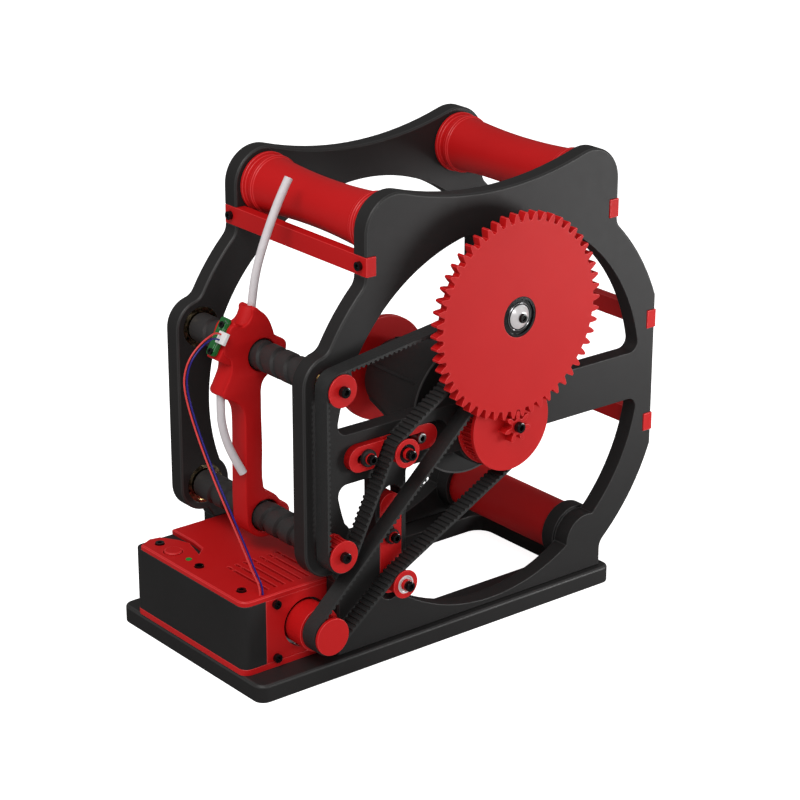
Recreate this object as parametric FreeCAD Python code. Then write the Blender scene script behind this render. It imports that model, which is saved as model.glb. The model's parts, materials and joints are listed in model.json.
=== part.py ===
import FreeCAD, Part
import math
import os
from FreeCAD import Vector

# Filament spool winder, in millimetres.
# X runs from the front (rods and control box) to the rear, Y from the drive side to the loading side,
# and Z is up. The values below are taken from the centre of the base's underside. Before they are written,
# all the pieces move together, so that the origin lies under the middle of the whole machine.

# Base and side frames
base_length = 244.0
base_width = 130.0
base_thick = 10.0
base_corner_r = 6.0
base_edge = 1.0
opening_front = -36.0
opening_rear = 112.0
opening_half_width = 37.0
opening_corner_r = 10.0
frame_thick = 10.0
frame_gap = 102.0
frame_edge = 0.8
hub_x = 36.0
ring_outer_r = 125.0
ring_width = 19.0
ring_sunk = 5.5
rear_flat_cut = 8.0
horn_rise = 10.5
horn_r = 19.5
horn_spacing = 133.0
cradle_depth = 10.2
foot_behind_rod = 5.2
foot_rear_x = 116.5
foot_top_z = 60.0
foot_screw_inset = 9.0
foot_screw_recess = 2.6
foot_screw_bite = 6.0
foot_pilot_depth = 9.0
outline_fillet = 8.0
window_fillet = 5.5
tight_fillet = 2.8

# Near frame's hub disc, spokes and slots
hub_disc_r = 57.5
spoke_width = 27.5
window_behind_rod = 6.2
window_floor_z = 62.0
post_behind_rod = 40.2
post_width = 20.0
slot_width = 14.4
slot_behind_rod = 9.8
slot_spare = 7.0
lower_slot_bottom = 33.0
lower_slot_below_hub = 21.5

# Cross bars
bar_depth = 6.3
bar_height = 10.3
upper_bar_drop = 35.6
rear_bar_spread = 30.5
bar_stand_out = 0.6

# Small socket screws, and the clearance round a pin or in a press seat
small_head_r = 2.4
small_head_h = 2.0
small_shank_r = 1.5
screw_length = 12.0
pilot_r = 1.52
fit = 0.02
hole_play = 0.1
screw_gap = 0.3

# Reversing rods, their bearings and pulleys
rod_inset = 14.8
upper_rod_rise = 43.6
rod_above_box = 23.9
rod_boss_r = 15.3
rod_r = 8.0
rod_core_r = 4.0
rod_shoulder_gap = 0.4
groove_lead = 12.0
groove_width = 5.0
groove_depth = 1.5
groove_margin = 8.0
bearing_r = 11.0
bearing_bore_r = 4.0
bearing_width = 7.0
bearing_race = 2.2
bearing_shield_depth = 0.5
bearing_step = 2.5
seat_wall = 1.5

# Toothed belts, and the pulleys that they run on
belt_pitch = 3.0
belt_width = 10.0
belt_back = 0.95
belt_land = 0.2
belt_tooth_height = 0.95
belt_tooth_root = 0.95
belt_tooth_tip = 0.6
pulley_land = 0.45
groove_deep = 1.55
groove_top = 1.15
groove_floor = 0.85
belt_side_gap = 0.1
flange_thick = 1.0
flange_lip = 0.55
drive_flange_r = 26.0
drive_flange_thick = 2.4
belt_play = 0.05
outer_step = 0.22
pulley_web = 1.0
rod_pulley_teeth = 18
lead_pulley_teeth = 14
drive_pulley_teeth = 52
motor_pulley_teeth = 21
plate_gap = 0.4
pulley_head_r = 3.0
pulley_head_h = 3.0

# Winding hub
hub_flange_r = 36.0
hub_flange_thick = 3.0
hub_cone_near_r = 32.0
hub_cone_far_r = 27.0
hub_cone_end = -6.0
hub_core_r = 18.0
hub_core_end = 33.6
hub_boss_r = 20.0
hub_boss_depth = 4.0
clamp_disc_r = 30.4
clamp_disc_thick = 4.0
clamp_grip_r = 17.0
clamp_grip_length = 12.0
clamp_lobe_r = 5.0
clamp_lobes = 6
hub_rib_height = 2.0
hub_rib_length = 14.0
hub_ribs = 6
shaft_stand_out = 2.0

# Gear pair
gear_module = 2.0
pressure_angle = 20.0
pinion_teeth = 7
gear_teeth = 54
gear_thick = 5.2
pinion_thick = 5.6
tooth_addendum = 1.0
tooth_dedendum = 1.25
gear_gap = 0.3
gear_clearance = 0.15
gear_boss_r = 13.5
gear_bolt_head_r = 6.5
gear_bolt_head_h = 3.0
axle_nut_half_flat = 6.5
axle_nut_height = 5.0

# Idlers and their sliders
idler_r = 6.7
idler_flange_r = 7.8
idler_flange_thick = 0.9
idler_bore_r = 5.0
idler_axle_r = 2.0
idler_bearing_width = 4.0
idler_bush_r = 3.2
idler_bush_height = 1.6
bolt_head_r = 3.2
bolt_head_h = 3.0
bolt_nut_half_flat = 3.5
bolt_nut_height = 3.0
lower_idler_z = 46.0
slider_half = 7.1
slider_set_back = 1.0
slider_end_wall = 0.9
raised_height = 4.0
belt_room = 1.6
slider_end_gap = 0.2
clamp_from_end = 11.7
idler_from_clamp = 19.5
stud_from_idler = 19.0
lower_slider_bottom = 36.6
lower_slider_gap = 4.4
lower_clamp_z = 69.5
clamp_spacer_r = 4.7
clamp_spacer_height = 2.4
clamp_bush_height = 1.4
clamp_slot_half = 2.3
stud_slot_half = 3.0
stud_slot_length = 14.0
stud_nut_r = 2.7
stud_nut_height = 1.6
stud_end = 0.5
stud_seat = 0.1
plate_side_gap = 2.0
clamp_plate_thick = 3.0
clamp_plate_length = 13.0
upper_travel = 4.0
lower_travel = 3.2

# Top rollers
roller_lip_r = 16.8
roller_neck_r = 13.2
roller_end_r = 15.2
roller_lip_width = 2.6
roller_lip_pitch = 6.6
roller_inner_lip_r = 16.2
roller_groove_share = 0.3
roller_gap = 0.6
roller_bore_gap = 0.3
roller_axle_r = 4.0
axle_seat = 6.0

# Lower tie tube
tube_inset = 16.225
tube_z = 29.0
tube_r = 14.0
tube_bore_r = 11.6
lobe_r = 15.0
socket_r = 17.0
socket_depth = 9.0
socket_wall = 2.8

# Control box
box_front = -121.8
box_rear = -54.0
box_clear = 0.4
box_corner_r = 5.0
box_wall = 2.4
box_floor_thick = 3.5
box_top = 49.0
box_shelf_thick = 3.0
box_hole_gap = 0.1
box_post_r = 3.6
lid_thick = 3.0
face_front = -107.4
face_thick = 2.6
face_screw_x = -101.2
face_post_half = 3.0
face_post_depth = 8.5
face_screw_zs = (15.4, 46.0)
lid_screw_x = -113.0
lid_screw_ys = (-37.0, 1.3, 38.6)
lid_recess = 1.2

# Motor and its pulley
motor_x = -82.4
motor_z = 30.4
motor_r = 15.4
motor_length = 58.0
motor_hole_r = 13.6
motor_boss_r = 12.2
motor_shaft_r = 3.0
motor_shaft_seat = 20.0
motor_end_cap = 4.0
motor_end_cap_r = 6.0
motor_boss_bite = 1.0
motor_flange_thick = 1.9

# Button, lamp, switch and board
button_x = -113.0
button_y = 25.8
button_r = 5.2
button_gap = 0.3
button_flange_r = 6.0
button_flange_thick = 1.2
button_stand_out = 0.8
button_travel = 0.8
button_stem = 4.0
button_edge = 0.5
switch_size = 6.0
switch_height = 4.0
switch_plunger_r = 1.7
switch_seat_margin = 2.0
lamp_x = -112.3
lamp_y = 12.1
lamp_r = 1.6
lamp_stand_out = 0.3
shelf_rear = -92.0
shelf_near = 6.0
lid_edge = 0.6
notch_points = [
    (-97.2, 52.0), (-97.2, 30.0), (-98.6, 20.0), (-103.6, 15.3), (-99.7, 29.6), (-101.7, 36.2),
    (-107.9, 46.2), (-114.0, 47.4), (-123.0, 43.0), (-123.0, 52.0),
]
board_front = -104.0
board_rear = -60.0
board_near = 14.0
board_far = 46.0
board_height = 17.0
board_thick = 1.6
board_stud_r = 2.5
board_stud_inset = 4.0
driver_size = (15.0, 20.0, 10.0)
driver_inset = 8.0
terminal_size = (8.0, 24.0, 8.5)
terminal_inset = 2.0

# Vents in the lid
vent_rows = 7
vent_pitch = 5.25
vent_half = 0.8
first_vent_x = -101.6
dash_y = (-12.5, -8.5)
long_vent_y = (-44.0, -14.0)

# Level-wind guide
guide_near = -5.0
guide_thick = 13.0
guide_bore_gap = 0.3
guide_boss_r = 11.8
guide_web_front = -11.3
guide_web_rear = -1.6
lug_rear = 15.0
lug_half = 6.0
holder_r = 7.4
holder_y = 1.0
tube_entry = (-2.3, 24.4)
tube_exit = (-22.7, -19.0)
guide_shoulder = [
    (-3.6, 24.7), (-0.5, 22.7), (2.6, 19.6), (4.9, 15.4), (6.6, 11.4), (8.1, 8.0), (11.9, 6.0),
]
guide_upper_neck = [(10.2, -6.0), (5.2, -10.6), (0.9, -12.8), (-1.0, -16.0), (-1.6, -22.0)]
guide_lower_neck = [(-1.6, 17.0), (-0.4, 14.6), (3.8, 11.9), (10.2, 6.0)]
guide_chin = [(-11.3, -34.0), (-13.1, -28.2), (-16.4, -23.0), (-21.8, -18.6)]
tube_seat = 5.0

# Sensor board on the guide's holder
sensor_top = (-16.8, 21.9)
sensor_lean = 30.7
sensor_length = 21.0
sensor_near = -2.4
sensor_far = 5.0
sensor_thick = 1.4
sensor_block_drop = 22.6
sensor_block_depth = 12.0
sensor_block_half = 5.5
sensor_screw_length = 7.0
sensor_screw_head_r = 1.7
sensor_screw_head_h = 1.3
sensor_screw_drops = (4.2, 19.0)
connector_drops = (7.2, 13.7)
connector_near = -7.6
connector_far = -0.6
connector_thick = 2.0
screw_hole_r = 1.0
screw_hole_depth = 8.0
passage_r = 1.2

# Filament tubes and sensor wires: chosen route points, from the upper rod's axis
filament_tube_r = 2.0
filament_bore_r = 1.0
wire_r = 0.55
upper_tube_points = [
    (-2.5, 1.0, 22.9), (-1.0, 1.0, 33.9), (1.5, 1.0, 45.0), (5.8, 1.0, 56.6), (11.7, 1.0, 69.7),
    (17.5, 1.0, 81.0), (22.8, 1.0, 89.5),
]
lower_tube_points = [
    (-22.6, 1.0, -17.5), (-23.2, 0.8, -28.9), (-22.4, 0.3, -37.2), (-19.9, -0.7, -47.2),
    (-15.9, -2.4, -56.9), (-13.0, -3.8, -62.9),
]
red_wire_points = [
    (-24.3, -3.0, 16.0), (-26.9, -3.0, 17.5), (-31.3, -4.5, 17.5), (-38.8, -5.0, 14.3),
    (-45.8, -5.0, 7.8), (-49.0, -5.0, -0.6), (-49.5, -6.0, -8.3), (-49.0, -9.0, -17.9),
    (-48.5, -14.0, -28.5), (-47.8, -20.3, -40.3), (-47.4, -30.3, -54.6), (-46.0, -39.0, -68.5),
    (-41.3, -43.0, -84.9),
]
blue_wire_points = [
    (-25.8, -3.4, 13.5), (-28.4, -3.4, 15.0), (-32.4, -4.8, 15.3), (-38.4, -5.4, 12.7),
    (-44.7, -5.5, 6.8), (-47.7, -5.6, -0.9), (-48.2, -6.6, -8.2), (-47.7, -9.6, -17.7),
    (-47.2, -14.6, -28.2), (-46.5, -20.9, -40.0), (-46.0, -30.8, -54.1), (-44.6, -39.6, -68.0),
    (-39.9, -43.6, -84.6),
]

# Where both wires go into the box, from the lid's top
red_wire_end = [
    (-111.6, -46.0, 12.0), (-108.9, -47.5, 5.0), (-108.9, -47.5, 0.0),
]
blue_wire_end = [
    (-110.2, -46.6, 12.1), (-107.5, -48.0, 5.0), (-107.5, -48.0, 0.0),
]

half_gap = frame_gap / 2
frame_face = half_gap + frame_thick
hub_z = ring_outer_r - ring_sunk
ring_inner_r = ring_outer_r - ring_width
rear_flat_x = hub_x + ring_outer_r - rear_flat_cut
overall_height = hub_z + ring_outer_r + horn_rise
upper_bar_z = overall_height - upper_bar_drop
middle_bar_z = hub_z + rear_bar_spread
lower_bar_z = hub_z - rear_bar_spread
rod_x = hub_x - ring_outer_r + rod_inset
upper_rod_z = hub_z + upper_rod_rise
lower_rod_z = box_top + rod_above_box
foot_front_x = rod_x + foot_behind_rod
window_front_x = rod_x + window_behind_rod
post_x = rod_x + post_behind_rod
upper_slot_front = rod_x + slot_behind_rod
upper_slider_front = upper_slot_front + slider_end_gap
upper_clamp_x = upper_slider_front + clamp_from_end
upper_idler_x = upper_clamp_x + idler_from_clamp
upper_stud_x = upper_idler_x + stud_from_idler
upper_slider_rear = upper_stud_x + stud_slot_half + slider_half + slider_end_wall
upper_slot_rear = upper_slider_rear + slot_spare
lower_slot_top = hub_z - lower_slot_below_hub
lower_slider_top = lower_slot_top - lower_slider_gap
tube_x = hub_x + math.sqrt(ring_outer_r ** 2 - (hub_z - tube_z) ** 2) - tube_inset
horn_z = overall_height - horn_r
front_horn_x = hub_x - horn_spacing / 2
rear_horn_x = hub_x + horn_spacing / 2
top_front = front_horn_x - horn_r
top_rear = rear_horn_x + horn_r
gear_z = hub_z + gear_module * (pinion_teeth + gear_teeth) / 2
belt_rear = -frame_face - plate_gap - flange_thick - belt_side_gap
belt_front = belt_rear - belt_width
pulley_rear = belt_rear + belt_side_gap
pulley_front = belt_front - belt_side_gap
drive_face = pulley_front - drive_flange_thick
gear_rear = drive_face - gear_gap
gear_front = gear_rear - gear_thick
pinion_front = drive_face - pinion_thick
idler_front = pulley_front - flange_thick
slider_front = -frame_face
raised_face = slider_front - raised_height
slider_rear = -half_gap - slider_set_back
clamp_rear = hub_core_end + plate_gap + clamp_disc_thick + clamp_grip_length
box_half = half_gap - box_clear
box_low = base_thick + box_floor_thick
lid_top = box_top + lid_thick
middle_x = (rear_flat_x + small_head_h - base_length / 2) / 2
middle_y = (frame_face + pinion_front - pulley_head_h) / 2
motor_shaft_tip = pulley_front + 2 * pulley_web


def disc(x, z, r):
    edge = Part.makeCircle(r, Vector(x, 0, z), Vector(0, 1, 0))
    return Part.Face(Part.Wire([edge]))


def polygon(points):
    corners = [Vector(x, 0, z) for x, z in points]
    return Part.Face(Part.makePolygon(corners + corners[:1]))


def rectangle(x0, x1, z0, z1):
    return polygon([(x0, z0), (x1, z0), (x1, z1), (x0, z1)])


def stadium(x0, x1, z0, z1):
    """A slot outline whose short ends are half circles."""
    r = min(x1 - x0, z1 - z0) / 2
    if x1 - x0 > z1 - z0:
        corners = [(x0 + r, z0), (x1 - r, z0), (x1, z0 + r), (x1 - r, z1), (x0 + r, z1), (x0, z0 + r)]
    else:
        corners = [(x0, z1 - r), (x0, z0 + r), (x0 + r, z0), (x1, z0 + r), (x1, z1 - r), (x0 + r, z1)]
    a, b, c, d, e, f = [Vector(x, 0, z) for x, z in corners]
    edges = [Part.makeLine(a, b), Part.Arc(b, c, d).toShape(), Part.makeLine(d, e), Part.Arc(e, f, a).toShape()]
    return Part.Face(Part.Wire(edges))


def joined(solids):
    result = solids[0]
    for solid in solids[1:]:
        result = result.fuse(solid)
    return result.removeSplitter()


def slabs(faces, y0, y1):
    return joined([slab(face, y0, y1) for face in faces])


def slab(face, y0, y1):
    moved = face.copy()
    moved.translate(Vector(0, y0, 0))
    return moved.extrude(Vector(0, y1 - y0, 0))


def rod(x, z, y0, y1, r):
    return Part.makeCylinder(r, y1 - y0, Vector(x, y0, z), Vector(0, 1, 0))


def ring(x, z, y0, y1, outer, inner):
    return rod(x, z, y0, y1, outer).cut(rod(x, z, y0 - 1, y1 + 1, inner))


def turned(x, z, profile):
    """A solid of revolution about the Y axis through x, z; the profile is (radius, y) points."""
    corners = [Vector(x + r, y, z) for r, y in profile]
    face = Part.Face(Part.makePolygon(corners + corners[:1]))
    return face.revolve(Vector(x, 0, z), Vector(0, 1, 0), 360)


def edges_at(solid, places, reach):
    """The edges along Y that pass within reach of one of the x, z places."""
    found = []
    for edge in solid.Edges:
        if len(edge.Vertexes) != 2:
            continue
        a, b = edge.Vertexes[0].Point, edge.Vertexes[1].Point
        if abs(a.x - b.x) > 0.01 or abs(a.z - b.z) > 0.01:
            continue
        for x, z in places:
            if math.hypot(a.x - x, a.z - z) < reach:
                found.append(edge)
                break
    return found


def cap_screw(x, y, z, direction, head_r=small_head_r, head_h=small_head_h, shank_r=small_shank_r,
              length=screw_length):
    """A socket screw whose head stands on the point x, y, z; direction points from the head to the tip."""
    seat = Vector(x, y, z)
    head = Part.makeCylinder(head_r, head_h, seat - direction * head_h, direction)
    socket = Part.makeCylinder(head_r * 0.5, head_h * 0.6, seat - direction * head_h, direction)
    shank = Part.makeCylinder(shank_r, length, seat, direction)
    return head.cut(socket).fuse(shank)


def bearing(x, z, y0, outer=bearing_r, bore=bearing_bore_r + fit, width=bearing_width, race=bearing_race):
    """A sealed ball bearing: two races and the shield set back between them."""
    shield = bearing_shield_depth
    profile = [
        (bore, y0), (bore + race * 0.7, y0), (bore + race * 0.7, y0 + shield),
        (outer - race * 0.7, y0 + shield), (outer - race * 0.7, y0), (outer, y0),
        (outer, y0 + width), (outer - race * 0.7, y0 + width), (outer - race * 0.7, y0 + width - shield),
        (bore + race * 0.7, y0 + width - shield), (bore + race * 0.7, y0 + width), (bore, y0 + width),
    ]
    return turned(x, z, profile)


parts = {}


def base_plate():
    plate = Part.makeBox(base_length, base_width, base_thick, Vector(-base_length / 2, -base_width / 2, 0))
    corners = [e for e in plate.Edges if abs(e.Vertexes[0].Z - e.Vertexes[-1].Z) > base_thick / 2]
    plate = plate.makeFillet(base_corner_r, corners)
    rim = [e for e in plate.Edges if min(v.Z for v in e.Vertexes) > base_thick - 0.01]
    plate = plate.makeChamfer(base_edge, rim)
    length = opening_rear - opening_front
    hole = Part.makeBox(length, 2 * opening_half_width, base_thick + 2,
                        Vector(opening_front, -opening_half_width, -1))
    hole = hole.makeFillet(opening_corner_r, [e for e in hole.Edges if e.Length > base_thick + 1
                                              and abs(e.Vertexes[0].Z - e.Vertexes[-1].Z) > 1])
    plate = plate.cut(hole)
    for x, y in frame_screw_places():
        plate = plate.cut(Part.makeCylinder(small_shank_r + hole_play, base_thick, Vector(x, y, 0)))
        plate = plate.cut(Part.makeCylinder(small_head_r + screw_gap, foot_screw_recess, Vector(x, y, 0)))
    return plate


def frame_screw_places():
    """Where screws come up through the base into the feet of the side frames."""
    y = half_gap + frame_thick / 2
    ends = (foot_front_x + foot_screw_inset, foot_rear_x - foot_screw_inset)
    return [(x, side * y) for x in ends for side in (-1, 1)]


def base_screws():
    screws = []
    for x, y in frame_screw_places():
        screws.append(cap_screw(x, y, foot_screw_recess, Vector(0, 0, 1),
                                length=base_thick - foot_screw_recess + foot_screw_bite))
    return screws


def bar_notches():
    """The notches in both frames' outlines that the cross bars lie in."""
    low = bar_height / 2
    return [
        rectangle(top_front - 5, top_front + bar_depth, upper_bar_z - low, upper_bar_z + low),
        rectangle(top_rear - bar_depth, top_rear + 5, upper_bar_z - low, upper_bar_z + low),
        rectangle(rear_flat_x - bar_depth, rear_flat_x + 5, middle_bar_z - low, middle_bar_z + low),
        rectangle(rear_flat_x - bar_depth, rear_flat_x + 5, lower_bar_z - low, lower_bar_z + low),
    ]


def frame_outline(y0, y1):
    rise = horn_r - cradle_depth
    half = horn_spacing / 2
    cradle_r = (half ** 2 + rise ** 2 - horn_r ** 2) / (2 * (horn_r - rise))
    touch = half * horn_r / (horn_r + cradle_r)
    shape = slabs([
        disc(hub_x, hub_z, ring_outer_r),
        rectangle(top_front, top_rear, upper_rod_z, horn_z),
        disc(front_horn_x, horn_z, horn_r),
        disc(rear_horn_x, horn_z, horn_r),
        rectangle(front_horn_x + touch, rear_horn_x - touch, horn_z - horn_r, overall_height),
        rectangle(rod_x - rod_boss_r, hub_x, lower_rod_z, upper_rod_z),
        disc(rod_x, upper_rod_z, rod_boss_r),
        disc(rod_x, lower_rod_z, rod_boss_r),
        rectangle(foot_front_x, foot_rear_x, base_thick, foot_top_z),
    ], y0, y1)
    cradle = disc(hub_x, overall_height - cradle_depth + cradle_r, cradle_r)
    far = 2 * overall_height
    outside = rectangle(rear_flat_x, far, -far, far)
    below = rectangle(-far, far, -far, base_thick)
    for face in (cradle, outside, below):
        shape = shape.cut(slab(face, y0 - 1, y1 + 1))
    shape = shape.removeSplitter()
    shape = shape.makeFillet(outline_fillet, edges_at(shape, outline_corners(), 1.0))
    rim = [e for e in shape.Edges if e.BoundBox.YMax < y0 + 0.01]
    return shape.makeChamfer(frame_edge, rim)


def crossing(xa, za, ra, xb, zb, rb, left):
    """Where two circles cross; left chooses the crossing on the left of the line from a to b."""
    d = math.hypot(xb - xa, zb - za)
    along = (d ** 2 + ra ** 2 - rb ** 2) / (2 * d)
    off = math.sqrt(ra ** 2 - along ** 2)
    ux, uz = (xb - xa) / d, (zb - za) / d
    side = 1 if left else -1
    return (xa + ux * along - side * uz * off, za + uz * along + side * ux * off)


def on_ring(r, x=None, z=None, sign=1):
    """The missing coordinate of a point on a circle about the hub axis."""
    if x is not None:
        return hub_z + sign * math.sqrt(r ** 2 - (x - hub_x) ** 2)
    return hub_x + sign * math.sqrt(r ** 2 - (z - hub_z) ** 2)


def outline_corners():
    upper = crossing(hub_x, hub_z, ring_outer_r, rod_x, upper_rod_z, rod_boss_r, False)
    foot_drop = math.sqrt(rod_boss_r ** 2 - (foot_front_x - rod_x) ** 2)
    return [
        upper,
        (top_front, on_ring(ring_outer_r, x=top_front)),
        (top_rear, on_ring(ring_outer_r, x=top_rear)),
        (foot_rear_x, on_ring(ring_outer_r, x=foot_rear_x, sign=-1)),
        (foot_front_x, lower_rod_z - foot_drop),
    ]


def far_frame():
    low, high = half_gap - 1, frame_face + 1
    bosses = slabs([
        disc(rod_x, upper_rod_z, rod_boss_r),
        disc(rod_x, lower_rod_z, rod_boss_r),
        disc(tube_x, tube_z, lobe_r),
    ], low, high)
    opening = slab(disc(hub_x, hub_z, ring_inner_r), low, high).cut(bosses)
    plate = frame_outline(half_gap, frame_face).cut(opening).removeSplitter()
    for notch in bar_notches():
        plate = plate.cut(slab(notch, half_gap - 1, frame_face + 1))
    plate = plate.fuse(tube_socket(half_gap, -1))
    for z in (upper_rod_z, lower_rod_z):
        plate = plate.cut(rod(rod_x, z, half_gap - 1, half_gap + bearing_width, bearing_r + fit))
        plate = plate.cut(rod(rod_x, z, half_gap, frame_face - seat_wall, bearing_r - bearing_step))
    for x in (front_horn_x, rear_horn_x):
        plate = plate.cut(rod(x, horn_z, half_gap - 1, half_gap + axle_seat, roller_axle_r + fit))
    return drilled(plate, 1)


def drilled(plate, side):
    """Pilot holes for the screws of the feet and the cross bars."""
    y = side * (half_gap + frame_thick / 2)
    for x, screw_y in frame_screw_places():
        if screw_y * side > 0:
            plate = plate.cut(Part.makeCylinder(pilot_r, foot_pilot_depth, Vector(x, y, base_thick)))
    for x, z, toward in bar_screw_places():
        seat = Vector(x, y, z)
        plate = plate.cut(Part.makeCylinder(pilot_r, screw_length, seat, toward))
    return plate


def bar_screw_places():
    return [
        (top_front, upper_bar_z, Vector(1, 0, 0)),
        (top_rear, upper_bar_z, Vector(-1, 0, 0)),
        (rear_flat_x, middle_bar_z, Vector(-1, 0, 0)),
        (rear_flat_x, lower_bar_z, Vector(-1, 0, 0)),
    ]


def tube_socket(y, side):
    """The ring on a frame's inner face that the end of the tie tube sits in."""
    low, high = sorted((y, y + side * socket_depth))
    return ring(tube_x, tube_z, low, high, tube_r + socket_wall, tube_r + fit)


def near_window():
    """Everything that is open between the near frame's ring, hub disc, spokes and posts."""
    half = spoke_width / 2
    far = 2 * overall_height
    low, high = -frame_face - 1, -half_gap + 1
    solid = slabs([
        disc(hub_x, hub_z, hub_disc_r),
        rectangle(hub_x - half, hub_x + half, hub_z, far),
        rectangle(-far, far, hub_z - half, hub_z + half),
        rectangle(post_x - post_width / 2, post_x + post_width / 2, 0, hub_z),
        rectangle(-far, post_x, 0, window_floor_z),
        rectangle(-far, window_front_x, 0, far),
        disc(rod_x, upper_rod_z, rod_boss_r),
        disc(rod_x, lower_rod_z, rod_boss_r),
        disc(tube_x, tube_z, lobe_r),
    ], low, high)
    return slab(disc(hub_x, hub_z, ring_inner_r), low, high).cut(solid)


def window_corners():
    """The corners of the windows that are rounded."""
    half = spoke_width / 2
    top = hub_z + half
    low = hub_z - half
    front_of_post = post_x - post_width / 2
    rear_of_post = post_x + post_width / 2
    return [
        (window_front_x, top),
        (window_front_x, low),
        (front_of_post, low),
        (front_of_post, window_floor_z),
        (rear_of_post, on_ring(ring_inner_r, x=rear_of_post, sign=-1)),
        (hub_x - half, on_ring(ring_inner_r, x=hub_x - half)),
        (hub_x + half, on_ring(ring_inner_r, x=hub_x + half)),
        (on_ring(ring_inner_r, z=top), top),
        (on_ring(ring_inner_r, z=low), low),
    ]


def near_frame():
    pieces = []
    for block in near_window().removeSplitter().Solids:
        block = block.makeFillet(window_fillet, edges_at(block, window_corners(), 1.0))
        tight = edges_at(block, [(post_x + post_width / 2, hub_z - spoke_width / 2)], 1.0)
        if tight:
            block = block.makeFillet(tight_fillet, tight)
        pieces.append(block)
    plate = frame_outline(-frame_face, -half_gap)
    for piece in pieces:
        plate = plate.cut(piece)
    half = slot_width / 2
    upper_slot = stadium(upper_slot_front, upper_slot_rear, hub_z - half, hub_z + half)
    lower_slot = stadium(post_x - half, post_x + half, lower_slot_bottom, lower_slot_top)
    for face in (upper_slot, lower_slot):
        plate = plate.cut(slab(face, -frame_face - 1, -half_gap + 1))
    for notch in bar_notches():
        plate = plate.cut(slab(notch, -frame_face - 1, -half_gap + 1))
    plate = plate.fuse(rod(hub_x, hub_z, -half_gap - 1, -half_gap + hub_boss_depth, hub_boss_r))
    plate = plate.fuse(tube_socket(-half_gap, 1))
    plate = plate.cut(rod(hub_x, hub_z, -frame_face - 1, -half_gap + hub_boss_depth + 1, bearing_r + fit))
    plate = plate.cut(rod(hub_x, gear_z, -frame_face - 1, -half_gap + 1, bearing_bore_r + fit))
    for z in (upper_rod_z, lower_rod_z):
        plate = plate.cut(rod(rod_x, z, -half_gap - bearing_width, -half_gap + 1, bearing_r + fit))
        plate = plate.cut(rod(rod_x, z, -frame_face - 1, -half_gap, bearing_r - bearing_step))
    for x in (front_horn_x, rear_horn_x):
        plate = plate.cut(rod(x, horn_z, -half_gap - axle_seat, -half_gap + 1, roller_axle_r + fit))
    return drilled(plate, -1)


def cross_bar(x0, z):
    y0 = -frame_face - bar_stand_out
    bar = Part.makeBox(bar_depth, frame_face - y0, bar_height - 2 * fit,
                       Vector(x0, y0, z - bar_height / 2 + fit))
    for side in (-1, 1):
        y = side * (half_gap + frame_thick / 2)
        hole = Part.makeCylinder(pilot_r, bar_depth, Vector(x0, y, z), Vector(1, 0, 0))
        bar = bar.cut(hole)
    return bar


def bar_screws():
    screws = []
    for x, z, toward in bar_screw_places():
        for side in (-1, 1):
            y = side * (half_gap + frame_thick / 2)
            screws.append(cap_screw(x, y, z, toward))
    return screws


# Toothed drums and belts

def pitch_r(teeth):
    return belt_pitch * teeth / (2 * math.pi)


def toothed_drum(x, z, y0, y1, teeth, phase):
    """A drum with one groove at the angle phase, measured from +X towards +Z."""
    outer = pitch_r(teeth) - pulley_land
    points = []
    for k in range(teeth):
        mid = phase + 2 * math.pi * k / teeth
        for half, r in ((-groove_top, outer), (-groove_floor, outer - groove_deep + pulley_land),
                        (groove_floor, outer - groove_deep + pulley_land), (groove_top, outer)):
            a = mid + half / outer
            points.append((x + r * math.cos(a), z + r * math.sin(a)))
    return slab(polygon(points), y0, y1)


class BeltPath:
    """A closed belt line over pulleys; each is (x, z, r, turn), where turn +1 is anticlockwise from +X to +Z."""

    def __init__(self, pulleys):
        self.pulleys = pulleys
        self.parts = []
        tangents = []
        count = len(pulleys)
        for k in range(count):
            tangents.append(self.tangent(pulleys[k], pulleys[(k + 1) % count]))
        self.arcs = []
        for k in range(count):
            x, z, r, turn = pulleys[k]
            entry = tangents[k - 1][1]
            leave = tangents[k][0]
            a0 = math.atan2(entry[1] - z, entry[0] - x)
            a1 = math.atan2(leave[1] - z, leave[0] - x)
            sweep = (turn * (a1 - a0)) % (2 * math.pi)
            self.arcs.append((x, z, r, turn, a0, sweep))
        self.tangents = tangents

    def tangent(self, a, b):
        """The straight run that leaves pulley a and meets pulley b."""
        xa, za, ra, ta = a
        xb, zb, rb, tb = b
        d = math.hypot(xb - xa, zb - za)
        base = math.atan2(zb - za, xb - xa)
        lean = math.acos((ta * ra - tb * rb) / d)
        angle = base - lean
        na = (math.cos(angle), math.sin(angle))
        start = (xa + ta * ra * na[0], za + ta * ra * na[1])
        end = (xb + tb * rb * na[0], zb + tb * rb * na[1])
        return start, end

    def stretches(self):
        """Arcs and straight runs in order, each as (length, function of distance to point and normal)."""
        result = []
        for k, (x, z, r, turn, a0, sweep) in enumerate(self.arcs):
            def along_arc(s, x=x, z=z, r=r, turn=turn, a0=a0):
                a = a0 + turn * s / r
                return (x + r * math.cos(a), z + r * math.sin(a)), (turn * math.cos(a), turn * math.sin(a))
            result.append((sweep * r, along_arc))
            start, end = self.tangents[k]
            length = math.hypot(end[0] - start[0], end[1] - start[1])
            ux, uz = (end[0] - start[0]) / length, (end[1] - start[1]) / length

            def along_run(s, start=start, ux=ux, uz=uz):
                return (start[0] + ux * s, start[1] + uz * s), (uz, -ux)
            result.append((length, along_run))
        return result


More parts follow.
